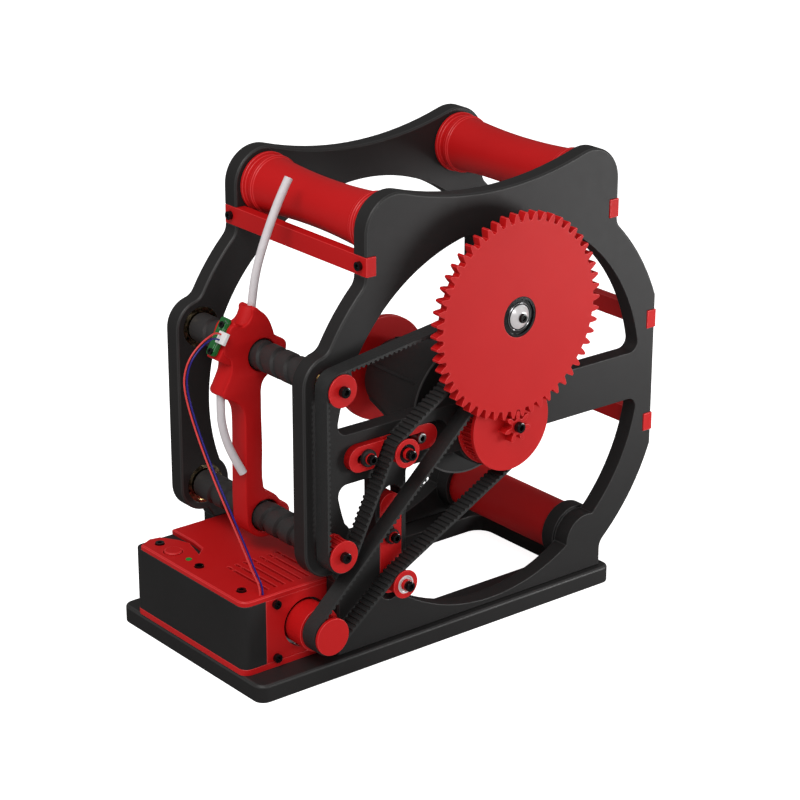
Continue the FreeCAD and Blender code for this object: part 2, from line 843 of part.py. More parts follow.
def tooth_places(path, toothed):
    """Distances along the belt line of every tooth, in step with the grooves of the toothed pulleys."""
    starts = []
    s = 0
    for k, (x, z, r, turn, a0, sweep) in enumerate(path.arcs):
        if toothed[k]:
            held = int(sweep * r / belt_pitch + 1e-6)
            starts.append((s, s + held * belt_pitch, held))
        s += sweep * r
        begin, end = path.tangents[k]
        s += math.hypot(end[0] - begin[0], end[1] - begin[1])
    total = s
    places = []
    for k, (first, last, held) in enumerate(starts):
        places += [first + belt_pitch * n for n in range(held + 1)]
        following = starts[(k + 1) % len(starts)][0]
        if following <= last:
            following += total
        free = following - last
        count = round(free / belt_pitch)
        places += [last + free * n / count for n in range(1, count)]
    return [p % total for p in places], total


def belt(path, toothed):
    places, total = tooth_places(path, toothed)
    places.sort()
    sampler = path.stretches()
    limits = []
    s = 0
    for length, place in sampler:
        limits.append((s, s + length, place))
        s += length

    def offset_point(s, off):
        s = s % total
        for low, high, place in limits:
            if low <= s <= high:
                (x, z), (nx, nz) = place(s - low)
                return (x + nx * off, z + nz * off)
        raise ValueError(s)

    inner = []
    for p in places:
        for ds, off in ((-belt_tooth_root, -belt_land), (-belt_tooth_tip, -belt_land - belt_tooth_height),
                        (belt_tooth_tip, -belt_land - belt_tooth_height), (belt_tooth_root, -belt_land)):
            inner.append(offset_point(p + ds, off))
    outer = []
    s = 0
    for k, (x, z, r, turn, a0, sweep) in enumerate(path.arcs):
        steps = max(2, int(sweep / outer_step) + 1)
        for n in range(steps + 1):
            outer.append(offset_point(s + sweep * r * n / steps, belt_back))
        begin, end = path.tangents[k]
        s += sweep * r + math.hypot(end[0] - begin[0], end[1] - begin[1])
    face = polygon(outer).cut(polygon(inner))
    return slab(face, belt_front, belt_rear)


def groove_phase(path, k):
    """The angle at which the belt meets pulley k, where that pulley has a groove."""
    return path.arcs[k][4]


idler_line = idler_r + belt_back + belt_play
lead_path = BeltPath([
    (rod_x, upper_rod_z, pitch_r(rod_pulley_teeth), 1),
    (rod_x, lower_rod_z, pitch_r(rod_pulley_teeth), 1),
    (upper_idler_x, hub_z, idler_line, -1),
    (hub_x, gear_z, pitch_r(lead_pulley_teeth), 1),
])
drive_path = BeltPath([
    (motor_x, motor_z, pitch_r(motor_pulley_teeth), 1),
    (post_x, lower_idler_z, idler_line, -1),
    (hub_x, hub_z, pitch_r(drive_pulley_teeth), 1),
])


def drum_lip(teeth):
    return pitch_r(teeth) - pulley_land + flange_lip


def rod_pulley(z, phase):
    front = pulley_front - flange_thick
    drum = toothed_drum(rod_x, z, pulley_front, pulley_rear, rod_pulley_teeth, phase)
    drum = drum.fuse(rod(rod_x, z, front, pulley_front, drum_lip(rod_pulley_teeth)))
    drum = drum.fuse(rod(rod_x, z, pulley_rear, pulley_rear + flange_thick, drum_lip(rod_pulley_teeth)))
    drum = drum.cut(rod(rod_x, z, pulley_front + pulley_web, pulley_rear + flange_thick, rod_core_r + fit))
    return drum.cut(rod(rod_x, z, front, pulley_front + pulley_web, pilot_r))


def pulley_screw(x, y, z):
    return cap_screw(x, y, z, Vector(0, 1, 0), head_r=pulley_head_r, head_h=pulley_head_h)


def reversing_rod(z, hand):
    """A rod with a helical groove between its bearings, and a thin shank at each end."""
    y0 = -half_gap + rod_shoulder_gap
    y1 = half_gap - rod_shoulder_gap
    body = rod(rod_x, z, y0, y1, rod_r)
    length = y1 - y0 - 2 * groove_margin
    helix = Part.makeHelix(groove_lead, length, rod_r, 0, hand < 0)
    half = groove_width / 2
    cutter_face = Part.makePolygon([
        Vector(rod_r - groove_depth, 0, -half * 0.6), Vector(rod_r + 1, 0, -half * 1.2),
        Vector(rod_r + 1, 0, half * 1.2), Vector(rod_r - groove_depth, 0, half * 0.6),
        Vector(rod_r - groove_depth, 0, -half * 0.6)])
    sweep = Part.Wire(helix.Edges).makePipeShell([cutter_face], True, True)
    sweep.rotate(Vector(0, 0, 0), Vector(1, 0, 0), -90)
    sweep.translate(Vector(rod_x, y0 + groove_margin, z))
    body = body.cut(sweep)
    near_end = pulley_front + pulley_web + hole_play
    body = body.fuse(rod(rod_x, z, near_end, y0, rod_core_r))
    body = body.fuse(rod(rod_x, z, y1, half_gap + bearing_width, rod_core_r))
    pilot = rod(rod_x, z, near_end - 1, near_end + screw_length, pilot_r)
    return body.cut(pilot)


# Gears

def gear_face(x, z, teeth, first_angle, thin):
    """A spur gear outline with one tooth at first_angle; flanks follow the involute of a 20 degree rack."""
    r_pitch = gear_module * teeth / 2
    r_tip = r_pitch + gear_module * tooth_addendum
    r_root = r_pitch - gear_module * tooth_dedendum
    slope = math.radians(pressure_angle)
    r_base = r_pitch * math.cos(slope)
    half_pitch = math.pi / (2 * teeth) - thin / r_pitch
    inv_pitch = math.tan(slope) - slope

    def half_angle(r):
        if r <= r_base:
            return half_pitch + inv_pitch
        roll = math.acos(r_base / r)
        return half_pitch + inv_pitch - (math.tan(roll) - roll)
    lowest = max(r_root, r_base)
    radii = [lowest + (r_tip - lowest) * n / 2 for n in range(3)]
    if r_root < lowest:
        radii = [r_root] + radii
    points = []
    for k in range(teeth):
        mid = first_angle + 2 * math.pi * k / teeth
        for r in radii:
            a = mid - half_angle(r)
            points.append((x + r * math.cos(a), z + r * math.sin(a)))
        for r in reversed(radii):
            a = mid + half_angle(r)
            points.append((x + r * math.cos(a), z + r * math.sin(a)))
    return polygon(points)


def main_gear():
    """The big gear, one gap of its teeth pointing down at the pinion, with the seat of its bearing."""
    half_tooth = math.pi / gear_teeth
    face = gear_face(hub_x, gear_z, gear_teeth, -math.pi / 2 + half_tooth, gear_clearance)
    gear = slab(face, gear_front, gear_rear)
    gear = gear.fuse(rod(hub_x, gear_z, gear_rear, idler_front, gear_boss_r))
    return gear.cut(rod(hub_x, gear_z, gear_front - 1, idler_front, bearing_r + fit))


def lead_pulley():
    """The small pulley that the gear's boss is fixed to."""
    drum = toothed_drum(hub_x, gear_z, pulley_front, pulley_rear, lead_pulley_teeth, groove_phase(lead_path, 3))
    drum = drum.fuse(rod(hub_x, gear_z, idler_front, pulley_front, gear_boss_r))
    drum = drum.fuse(rod(hub_x, gear_z, pulley_rear, pulley_rear + flange_thick, drum_lip(lead_pulley_teeth)))
    return drum.cut(rod(hub_x, gear_z, idler_front, pulley_rear + flange_thick, bearing_bore_r + fit))


def gear_bearing():
    return bearing(hub_x, gear_z, idler_front - bearing_width)


def gear_axle():
    """The bolt that the gear turns on, with a nut behind the frame."""
    y0 = idler_front - bearing_width - fit
    bolt = rod(hub_x, gear_z, y0, -half_gap + axle_nut_height, bearing_bore_r)
    head = rod(hub_x, gear_z, y0 - gear_bolt_head_h, y0, gear_bolt_head_r)
    socket = rod(hub_x, gear_z, y0 - gear_bolt_head_h, y0 - gear_bolt_head_h / 2, bearing_bore_r)
    nut = slab(hexagon(hub_x, gear_z, axle_nut_half_flat), -half_gap, -half_gap + axle_nut_height)
    return bolt.fuse(head).cut(socket).fuse(nut)


def hexagon(x, z, half_flat):
    r = half_flat / math.cos(math.pi / 6)
    points = []
    for k in range(6):
        a = math.pi / 6 + k * math.pi / 3
        points.append((x + r * math.cos(a), z + r * math.sin(a)))
    return polygon(points)


# Winding hub

def pinion():
    """The pinion on the drive pulley's face, one tooth pointing up into the gear."""
    face = gear_face(hub_x, hub_z, pinion_teeth, math.pi / 2, gear_clearance)
    wheel = slab(face, pinion_front, drive_face)
    return wheel.cut(rod(hub_x, hub_z, pinion_front - 1, drive_face + 1, pilot_r))


def drive_pulley():
    drum = toothed_drum(hub_x, hub_z, pulley_front, pulley_rear, drive_pulley_teeth,
                        groove_phase(drive_path, 2))
    drum = drum.fuse(rod(hub_x, hub_z, drive_face, pulley_front, drive_flange_r))
    drum = drum.fuse(rod(hub_x, hub_z, pulley_rear, pulley_rear + flange_thick, drive_flange_r))
    drum = drum.cut(rod(hub_x, hub_z, pulley_front, pulley_rear + flange_thick, bearing_bore_r + fit))
    return drum.cut(rod(hub_x, hub_z, drive_face, pulley_front, pilot_r))


def hub_shaft():
    shaft = rod(hub_x, hub_z, pulley_front, clamp_rear + shaft_stand_out, bearing_bore_r)
    return shaft.cut(rod(hub_x, hub_z, pulley_front, pulley_front + screw_length, pilot_r))


def spool_cone():
    """The hub that the spool slides on: drive flange, ribbed cone and core."""
    y0 = -half_gap + hub_boss_depth + plate_gap
    y1 = y0 + hub_flange_thick
    bore = bearing_bore_r + fit
    profile = [
        (bore, y0), (hub_flange_r, y0), (hub_flange_r, y1), (hub_cone_near_r, y1),
        (hub_cone_far_r, hub_cone_end), (hub_core_r, hub_cone_end), (hub_core_r, hub_core_end),
        (bore, hub_core_end),
    ]
    cone = turned(hub_x, hub_z, profile)
    for k in range(hub_ribs):
        a = 360 * (k + 0.5) / hub_ribs
        rib = Part.makeBox(hub_cone_far_r - hub_core_r, hub_rib_length, hub_rib_height,
                           Vector(hub_core_r - 1, hub_cone_end - 1, -hub_rib_height / 2))
        rib.rotate(Vector(0, 0, 0), Vector(0, 1, 0), a)
        rib.translate(Vector(hub_x, 0, hub_z))
        cone = cone.fuse(rib)
    return cone


def clamp_nut():
    """The hand nut that closes the hub against the far side of the spool."""
    y0 = hub_core_end + plate_gap
    y1 = y0 + clamp_disc_thick
    nut = rod(hub_x, hub_z, y0, y1, clamp_disc_r)
    nut = nut.fuse(rod(hub_x, hub_z, y1, clamp_rear, clamp_grip_r))
    for k in range(clamp_lobes):
        a = 2 * math.pi * k / clamp_lobes
        x = hub_x + clamp_grip_r * math.cos(a)
        z = hub_z + clamp_grip_r * math.sin(a)
        nut = nut.fuse(rod(x, z, y1, clamp_rear, clamp_lobe_r))
    return nut.cut(rod(hub_x, hub_z, y0, clamp_rear, bearing_bore_r + fit))


def frame_bearings():
    """Two bearings behind each other for the hub shaft, and one at each end of both rods."""
    hub_inner = -half_gap + hub_boss_depth - bearing_width
    pieces = [bearing(hub_x, hub_z, hub_inner - bearing_width), bearing(hub_x, hub_z, hub_inner)]
    for z in (upper_rod_z, lower_rod_z):
        pieces.append(bearing(rod_x, z, -half_gap - bearing_width))
        pieces.append(bearing(rod_x, z, half_gap))
    return Part.makeCompound(pieces)


# Top rollers and tie tube

def roller(x):
    """A waisted roller with a double lip at each end, hollow, with a seat for a bearing in each end."""
    y1 = half_gap - roller_gap
    half = y1 - roller_lip_width - roller_lip_pitch
    rise = roller_end_r - roller_neck_r
    waist_r = (half ** 2 + rise ** 2) / (2 * rise)
    quarter = half / 2
    sag = waist_r - math.sqrt(waist_r ** 2 - quarter ** 2)
    start = Vector(x + roller_neck_r, 0, horn_z)
    mid = Vector(x + roller_neck_r + sag, quarter, horn_z)
    edge = Vector(x + roller_end_r, half, horn_z)
    bore = roller_axle_r + roller_bore_gap
    step = roller_lip_width
    slope = step * roller_groove_share
    lips = [
        (roller_end_r, half), (roller_inner_lip_r, half + slope), (roller_inner_lip_r, half + step),
        (roller_end_r, half + step + slope), (roller_end_r, y1 - step), (roller_lip_r, y1 - step + slope),
        (roller_lip_r, y1), (bore, y1), (bore, 0), (roller_neck_r, 0),
    ]
    rest = Part.makePolygon([Vector(x + r, y, horn_z) for r, y in lips])
    wire = Part.Wire([Part.Arc(start, mid, edge).toShape()] + rest.Edges)
    half_roller = Part.Face(wire).revolve(Vector(x, 0, horn_z), Vector(0, 1, 0), 360)
    body = half_roller.fuse(half_roller.mirror(Vector(0, 0, 0), Vector(0, 1, 0))).removeSplitter()
    for y in (-y1, y1 - bearing_width):
        body = body.cut(rod(x, horn_z, y, y + bearing_width, bearing_r + fit))
    return body


def roller_bearings(x):
    y1 = half_gap - roller_gap
    return Part.makeCompound([bearing(x, horn_z, -y1), bearing(x, horn_z, y1 - bearing_width)])


def roller_axles():
    reach = half_gap + axle_seat
    ends = (front_horn_x, rear_horn_x)
    return Part.makeCompound([rod(x, horn_z, -reach, reach, roller_axle_r) for x in ends])


def tie_tube():
    return ring(tube_x, tube_z, -half_gap, half_gap, tube_r, tube_bore_r)


# Idlers, sliders and their clamps

def idler(x, z):
    wheel = rod(x, z, idler_front, pulley_rear, idler_r)
    wheel = wheel.fuse(rod(x, z, idler_front, idler_front + idler_flange_thick, idler_flange_r))
    wheel = wheel.fuse(rod(x, z, pulley_rear - 0.05, pulley_rear + idler_flange_thick, idler_flange_r))
    return wheel.cut(rod(x, z, idler_front, pulley_rear + idler_flange_thick, idler_bore_r + fit))


def idler_bearings(x, z):
    """Two small bearings pressed into the idler from its ends."""
    last = pulley_rear + idler_flange_thick - idler_bearing_width
    pair = []
    for y in (idler_front, last):
        pair.append(bearing(x, z, y, outer=idler_bore_r, bore=idler_axle_r + fit, width=idler_bearing_width,
                            race=1.0))
    return Part.makeCompound(pair)


def idler_bolt(x, z):
    """The bolt that carries an idler, its nut behind the slider and the bush under its head."""
    head_y = idler_front - idler_bush_height
    bolt = rod(x, z, head_y, slider_rear + bolt_nut_height, idler_axle_r)
    head = rod(x, z, head_y - bolt_head_h, head_y, bolt_head_r)
    socket = rod(x, z, head_y - bolt_head_h, head_y - bolt_head_h / 2, bolt_head_r / 2)
    nut = slab(hexagon(x, z, bolt_nut_half_flat), slider_rear, slider_rear + bolt_nut_height)
    bush = ring(x, z, head_y, idler_front, idler_bush_r, idler_axle_r + fit)
    return Part.makeCompound([bolt.fuse(head).cut(socket).fuse(nut), bush])


def upper_slider():
    """The block in the horizontal slot, raised at its front as far as the lead belt's run allows."""
    low, high = hub_z - slider_half, hub_z + slider_half
    face = stadium(upper_slider_front, upper_slider_rear, low, high)
    block = slab(face, slider_front, slider_rear)
    raised = slab(stadium(upper_slider_front, upper_idler_x, low, high), raised_face, slider_front)
    start, end = lead_path.tangents[1]
    run = math.atan2(end[1] - start[1], end[0] - start[0])
    off = belt_land + belt_tooth_height + belt_room
    reach = upper_slider_rear - upper_slider_front
    ux, uz = math.cos(run), math.sin(run)
    corner = (end[0] - uz * off, end[1] + ux * off)
    room = polygon([
        (corner[0] - ux * reach, corner[1] - uz * reach),
        (corner[0] + ux * reach, corner[1] + uz * reach),
        (corner[0] + ux * reach + uz * reach, corner[1] + uz * reach - ux * reach),
        (corner[0] - ux * reach + uz * reach, corner[1] - uz * reach - ux * reach),
    ])
    raised = raised.cut(slab(room, raised_face - 1, slider_front + 1))
    block = block.fuse(raised)
    holes = [
        stadium(upper_clamp_x - clamp_slot_half - upper_travel, upper_clamp_x + clamp_slot_half,
                hub_z - clamp_slot_half, hub_z + clamp_slot_half),
        stadium(upper_stud_x + stud_slot_half - stud_slot_length, upper_stud_x + stud_slot_half,
                hub_z - stud_slot_half, hub_z + stud_slot_half),
        disc(upper_idler_x, hub_z, idler_axle_r + fit),
    ]
    for hole in holes:
        block = block.cut(slab(hole, raised_face - 1, slider_rear + 1))
    return block.removeSplitter()


def lower_slider():
    block = slab(stadium(post_x - slider_half, post_x + slider_half, lower_slider_bottom, lower_slider_top),
                 slider_front, slider_rear)
    holes = [
        stadium(post_x - clamp_slot_half, post_x + clamp_slot_half,
                lower_clamp_z - clamp_slot_half, lower_clamp_z + clamp_slot_half + lower_travel),
        disc(post_x, lower_idler_z, idler_axle_r + fit),
    ]
    for hole in holes:
        block = block.cut(slab(hole, slider_front - 1, slider_rear + 1))
    return block


def clamp_screw(x, z, face_y):
    """A screw through a slider into the plate behind the frame."""
    head_y = face_y - clamp_spacer_height - clamp_bush_height
    head = rod(x, z, head_y - bolt_head_h, head_y, bolt_head_r)
    socket = rod(x, z, head_y - bolt_head_h, head_y - bolt_head_h / 2, bolt_head_r / 2)
    return head.fuse(rod(x, z, head_y, -half_gap + clamp_plate_thick, idler_axle_r)).cut(socket)


def clamp_washers(x, z, face_y):
    """The wide spacer on the slider, and the bush on it under the screw's head."""
    top = face_y - clamp_spacer_height
    spacer = ring(x, z, top, face_y, clamp_spacer_r, idler_axle_r + fit)
    return [spacer, ring(x, z, top - clamp_bush_height, top, idler_bush_r, idler_axle_r + fit)]


def stud(x, z):
    """The threaded stud that keeps the upper slider's rear end against the frame."""
    shank = rod(x, z, slider_front - stud_end, -half_gap + clamp_plate_thick, idler_axle_r)
    collar = rod(x, z, slider_front - stud_seat, slider_front - stud_seat + stud_nut_height, stud_nut_r)
    bore = rod(x, z, slider_front - stud_end, slider_front + stud_end, idler_axle_r / 2)
    return shank.fuse(collar).cut(bore)


def clamp_plate(x, z, length, height):
    block = Part.makeBox(length, clamp_plate_thick, height, Vector(x - length / 2, -half_gap, z - height / 2))
    return block.cut(rod(x, z, -half_gap, -half_gap + clamp_plate_thick, idler_axle_r + fit))


# Control box

def box_outline(z0, z1, corner_r, inset):
    """A block with rounded front corners, inset from the box's outer walls."""
    width = 2 * (box_half - inset)
    block = Part.makeBox(box_rear - box_front - 2 * inset, width, z1 - z0,
                         Vector(box_front + inset, -width / 2, z0))
    front = [e for e in block.Edges if e.BoundBox.XMax < box_front + inset + 0.01 and e.BoundBox.ZLength > 0.5
             and e.BoundBox.YLength < 0.01]
    return block.makeFillet(corner_r, front)


def upright(x, y, z0, z1, r):
    return Part.makeCylinder(r, z1 - z0, Vector(x, y, z0))


def box_floor():
    """The bottom tray with the posts of the control board and the switch."""
    floor = box_outline(base_thick, box_low, box_corner_r, 0)
    for x in (board_front + board_stud_inset, board_rear - board_stud_inset):
        for y in (board_near + board_stud_inset, board_far - board_stud_inset):
            floor = floor.fuse(upright(x, y, box_low, board_height, board_stud_r))
    side = switch_size + switch_seat_margin
    column = Part.makeBox(side, side, switch_bottom() - box_low,
                          Vector(button_x - side / 2, button_y - side / 2, box_low))
    return floor.fuse(column)


def button_bottom():
    return box_top - box_shelf_thick - button_flange_thick - button_stem


def switch_bottom():
    return button_bottom() - button_travel - box_hole_gap - switch_height


def box_shell():
    """The walls, open at the near side for the face plate, with screw posts and the shelf under the lid."""
    outer = box_outline(box_low, box_top, box_corner_r, 0)
    inner = box_outline(box_low, box_top, box_corner_r - box_wall, box_wall)
    shell = outer.cut(inner)
    height = box_top - box_low
    start = box_front + box_wall / 2
    for y in lid_screw_ys:
        post = Part.makeBox(lid_screw_x + box_post_r - start, 2 * box_post_r, height,
                            Vector(start, y - box_post_r, box_low))
        shell = shell.fuse(post)
    near = -box_half + box_wall / 2
    post_front = face_front - face_post_half
    post = Part.makeBox(face_screw_x + face_post_half - post_front, face_post_depth, height,
                        Vector(post_front, near, box_low))
    lip = Part.makeBox(box_wall, face_post_depth, height, Vector(box_rear - box_wall, near, box_low))
    shell = shell.fuse(post).fuse(lip)
    shelf = Part.makeBox(shelf_rear - start, box_half - shelf_near, box_shelf_thick,
                         Vector(start, shelf_near, box_top - box_shelf_thick))
    shell = shell.fuse(shelf.common(outer))
    shell = shell.cut(Part.makeBox(box_rear - face_front, face_thick, height,
                                   Vector(face_front, -box_half, box_low)))
    shell = shell.cut(upright(button_x, button_y, box_low, box_top, button_r + box_hole_gap))
    shell = shell.cut(upright(lamp_x, lamp_y, box_low, box_top, lamp_r + box_hole_gap))
    for y in lid_screw_ys:
        shell = shell.cut(upright(lid_screw_x, y, box_top - screw_length, box_top, pilot_r))
    for z in face_screw_zs:
        shell = shell.cut(rod(face_screw_x, z, -box_half, -box_half + screw_length, pilot_r))
    return shell.removeSplitter()


def face_plate():
    """The plate that carries the motor, set into the box's near side."""
    plate = Part.makeBox(box_rear - face_front, face_thick, box_top - box_low,
                         Vector(face_front, -box_half, box_low))
    plate = plate.cut(rod(motor_x, motor_z, -box_half - 1, -box_half + face_thick + 1, motor_hole_r))
    for z in face_screw_zs:
        plate = plate.cut(rod(face_screw_x, z, -box_half, -box_half + face_thick, pilot_r))
    return plate


def box_lid():
    """The lid, its front corner cut back to leave the tongue that carries the button."""
    lid = box_outline(box_top, lid_top, box_corner_r, 0)
    corners = [Vector(x, y, box_top - 1) for x, y in notch_points]
    notch = Part.Face(Part.makePolygon(corners + corners[:1])).extrude(Vector(0, 0, lid_thick + 2))
    lid = lid.cut(notch)
    rim = [e for e in lid.Edges if e.BoundBox.ZMin > lid_top - 0.01]
    lid = lid.makeChamfer(lid_edge, rim)
    for y in lid_screw_ys:
        lid = lid.cut(upright(lid_screw_x, y, box_top, lid_top, pilot_r))
        lid = lid.cut(upright(lid_screw_x, y, lid_top - lid_recess, lid_top, small_head_r + button_gap))
    lid = lid.cut(upright(button_x, button_y, box_top, lid_top, button_r + box_hole_gap))
    lid = lid.cut(upright(lamp_x, lamp_y, box_top, lid_top, lamp_r + fit))
    for k in range(vent_rows):
        x = first_vent_x + k * vent_pitch
        for low, high in (dash_y, long_vent_y):
            slot = Part.makeBox(2 * vent_half, high - low, lid_thick, Vector(x - vent_half, low, box_top))
            lid = lid.cut(slot)
    return lid


def lid_screws():
    screws = []
    for y in lid_screw_ys:
        screws.append(cap_screw(lid_screw_x, y, lid_top - lid_recess, Vector(0, 0, -1),
                                length=screw_length - lid_thick))
    return screws


def face_screws():
    screws = []
    for z in face_screw_zs:
        screws.append(cap_screw(face_screw_x, -box_half, z, Vector(0, 1, 0), length=screw_length - face_thick))
    return screws


def power_button():
    """A round cap in the lid, kept in by a flange under the shelf."""
    low = button_bottom()
    flange_top = box_top - box_shelf_thick - box_hole_gap
    cap = upright(button_x, button_y, flange_top - 1, lid_top + button_stand_out, button_r - button_gap)
    top = [e for e in cap.Edges if e.BoundBox.ZMin > lid_top + button_stand_out - 0.01]
    cap = cap.makeChamfer(button_edge, top)
    flange = upright(button_x, button_y, flange_top - button_flange_thick, flange_top, button_flange_r)
    stem = upright(button_x, button_y, low, flange_top, switch_plunger_r)
    return cap.fuse(flange).fuse(stem).removeSplitter()


def status_lamp():
    return upright(lamp_x, lamp_y, box_top, lid_top + lamp_stand_out, lamp_r)


def control_electronics():
    """The control board with its driver and connector block, and the switch under the button."""
    board = Part.makeBox(board_rear - board_front, board_far - board_near, board_thick,
                         Vector(board_front, board_near, board_height))
    z = board_height + board_thick
    middle = (board_near + board_far) / 2
    driver = Part.makeBox(*driver_size, Vector(board_front + driver_inset, middle - driver_size[1] / 2, z))
    block = Part.makeBox(*terminal_size, Vector(board_rear - terminal_inset - terminal_size[0],
                                                middle - terminal_size[1] / 2, z))
    half = switch_size / 2
    switch = Part.makeBox(switch_size, switch_size, switch_height,
                          Vector(button_x - half, button_y - half, switch_bottom()))
    return Part.makeCompound([board, driver, block, switch])


def drive_motor():
    y0 = -box_half + face_thick
    body = rod(motor_x, motor_z, y0, y0 + motor_length, motor_r)
    end = y0 + motor_length
    body = body.fuse(rod(motor_x, motor_z, end, end + motor_end_cap, motor_end_cap_r))
    return body.cut(rod(motor_x, motor_z, y0, y0 + motor_shaft_seat, motor_shaft_r + fit))


def motor_shaft():
    return rod(motor_x, motor_z, motor_shaft_tip, -box_half + face_thick + motor_shaft_seat, motor_shaft_r)


def motor_pulley():
    """Drum, closed front disc, and the boss that reaches into the face plate's hole."""
    drum = toothed_drum(motor_x, motor_z, pulley_front, pulley_rear, motor_pulley_teeth,
                        groove_phase(drive_path, 0))
    lip = drum_lip(motor_pulley_teeth)
    drum = drum.fuse(rod(motor_x, motor_z, pulley_front - motor_flange_thick, pulley_front, lip))
    end = -box_half + motor_boss_bite
    drum = drum.fuse(rod(motor_x, motor_z, pulley_rear, end, motor_boss_r))
    return drum.cut(rod(motor_x, motor_z, motor_shaft_tip, end, motor_shaft_r + fit))


# Level-wind guide and what rides on it

def curve(points):
    """A smooth edge through x, z points."""
    spline = Part.BSplineCurve()
    spline.interpolate([Vector(x, 0, z) for x, z in points])
    return spline.toShape()


def line(a, b):
    return Part.makeLine(Vector(a[0], 0, a[1]), Vector(b[0], 0, b[1]))


def guide_face():
    """The guide's outline; its sides follow the bosses, the lugs and the web between them."""
    up, low = upper_rod_z, lower_rod_z
    lug = rod_x + lug_rear
    front = rod_x + guide_web_front
    shoulder = from_rod(guide_shoulder, up)
    upper_neck = from_rod(guide_upper_neck, up)
    lower_neck = from_rod(guide_lower_neck, low)
    chin = from_rod(guide_chin, up)
    corners = [
        shoulder[-1], (lug, up + lug_half), (lug, up - lug_half), upper_neck[0],
        upper_neck[-1], lower_neck[0],
        lower_neck[-1], (lug, low + lug_half), (lug, low - lug_half), (front, low - lug_half), chin[0],
        chin[-1], shoulder[0],
    ]
    runs = [(0, 1), (1, 2), (2, 3), (4, 5), (6, 7), (7, 8), (8, 9), (9, 10), (11, 12)]
    edges = [line(corners[first], corners[last]) for first, last in runs]
    edges += [curve(points) for points in (shoulder, upper_neck, lower_neck, chin)]
    return Part.Face(Part.Wire(Part.__sortEdges__(edges)))


def from_rod(points, z):
    return [(rod_x + across, z + rise) for across, rise in points]


def from_upper_rod(points):
    return [(rod_x + x, y, upper_rod_z + z) for x, y, z in points]


def from_lid(points):
    return [(x, y, lid_top + z) for x, y, z in points]


def along_sensor(drop, out):
    """The x, z point that lies drop below the sensor block's top edge and out from its front."""
    a = math.radians(sensor_lean)
    return (rod_x + sensor_top[0] - math.sin(a) * drop - math.cos(a) * out,
            upper_rod_z + sensor_top[1] - math.cos(a) * drop + math.sin(a) * out)


def sensor_prism(drop0, drop1, out0, out1, y0, y1):
    corners = [along_sensor(drop0, out0), along_sensor(drop1, out0), along_sensor(drop1, out1),
               along_sensor(drop0, out1)]
    return slab(polygon(corners), y0, y1)


def tube_seat_cut(points):
    """The bore that the first end of a filament tube stands in."""
    a, b = Vector(*points[0]), Vector(*points[1])
    return Part.makeCylinder(filament_tube_r + box_hole_gap, tube_seat, a, b - a)


def level_wind_guide():
    y1 = guide_near + guide_thick
    guide = slab(guide_face(), guide_near, y1)
    for z in (upper_rod_z, lower_rod_z):
        guide = guide.fuse(rod(rod_x, z, guide_near, y1, guide_boss_r))
        lug = stadium(rod_x, rod_x + lug_rear, z - lug_half, z + lug_half)
        guide = guide.fuse(slab(lug, guide_near, y1))
    top, bottom = [Vector(x, holder_y, z) for x, z in from_rod([tube_entry, tube_exit], upper_rod_z)]
    axis = bottom - top
    guide = guide.fuse(Part.makeCylinder(holder_r, axis.Length, top, axis))
    block = sensor_prism(0, sensor_block_drop, 0, -sensor_block_depth, holder_y - sensor_block_half,
                         holder_y + sensor_block_half)
    guide = guide.fuse(block).removeSplitter()
    for z in (upper_rod_z, lower_rod_z):
        guide = guide.cut(rod(rod_x, z, guide_near - 2, y1 + 2, rod_r + guide_bore_gap))
    passage = Part.makeCylinder(passage_r, axis.Length, top, axis)
    guide = guide.cut(passage)
    for points in (upper_tube_points, lower_tube_points):
        guide = guide.cut(tube_seat_cut(from_upper_rod(points)))
    for drop in sensor_screw_drops:
        x, z = along_sensor(drop, 0)
        x1, z1 = along_sensor(drop, -screw_hole_depth)
        y = (sensor_near + sensor_far) / 2
        guide = guide.cut(Part.makeCylinder(screw_hole_r, screw_hole_depth, Vector(x, y, z),
                                            Vector(x1 - x, 0, z1 - z)))
    return guide


def sensor_board():
    board = sensor_prism(0, sensor_length, 0, sensor_thick, sensor_near, sensor_far)
    for drop in sensor_screw_drops:
        x, z = along_sensor(drop, 0)
        x1, z1 = along_sensor(drop, sensor_thick)
        y = (sensor_near + sensor_far) / 2
        board = board.cut(Part.makeCylinder(screw_hole_r, sensor_thick, Vector(x, y, z),
                                            Vector(x1 - x, 0, z1 - z)))
    return board


def sensor_screws():
    screws = []
    y = (sensor_near + sensor_far) / 2
    for drop in sensor_screw_drops:
        x, z = along_sensor(drop, sensor_thick)
        x1, z1 = along_sensor(drop, 0)
        way = Vector(x1 - x, 0, z1 - z).normalize()
        screws.append(cap_screw(x, y, z, way, head_r=sensor_screw_head_r, head_h=sensor_screw_head_h,
                                shank_r=screw_hole_r - fit, length=sensor_screw_length))
    return Part.makeCompound(screws)


def wire_connector():
    return sensor_prism(connector_drops[0], connector_drops[1], sensor_thick, sensor_thick + connector_thick,
                        connector_near, connector_far)


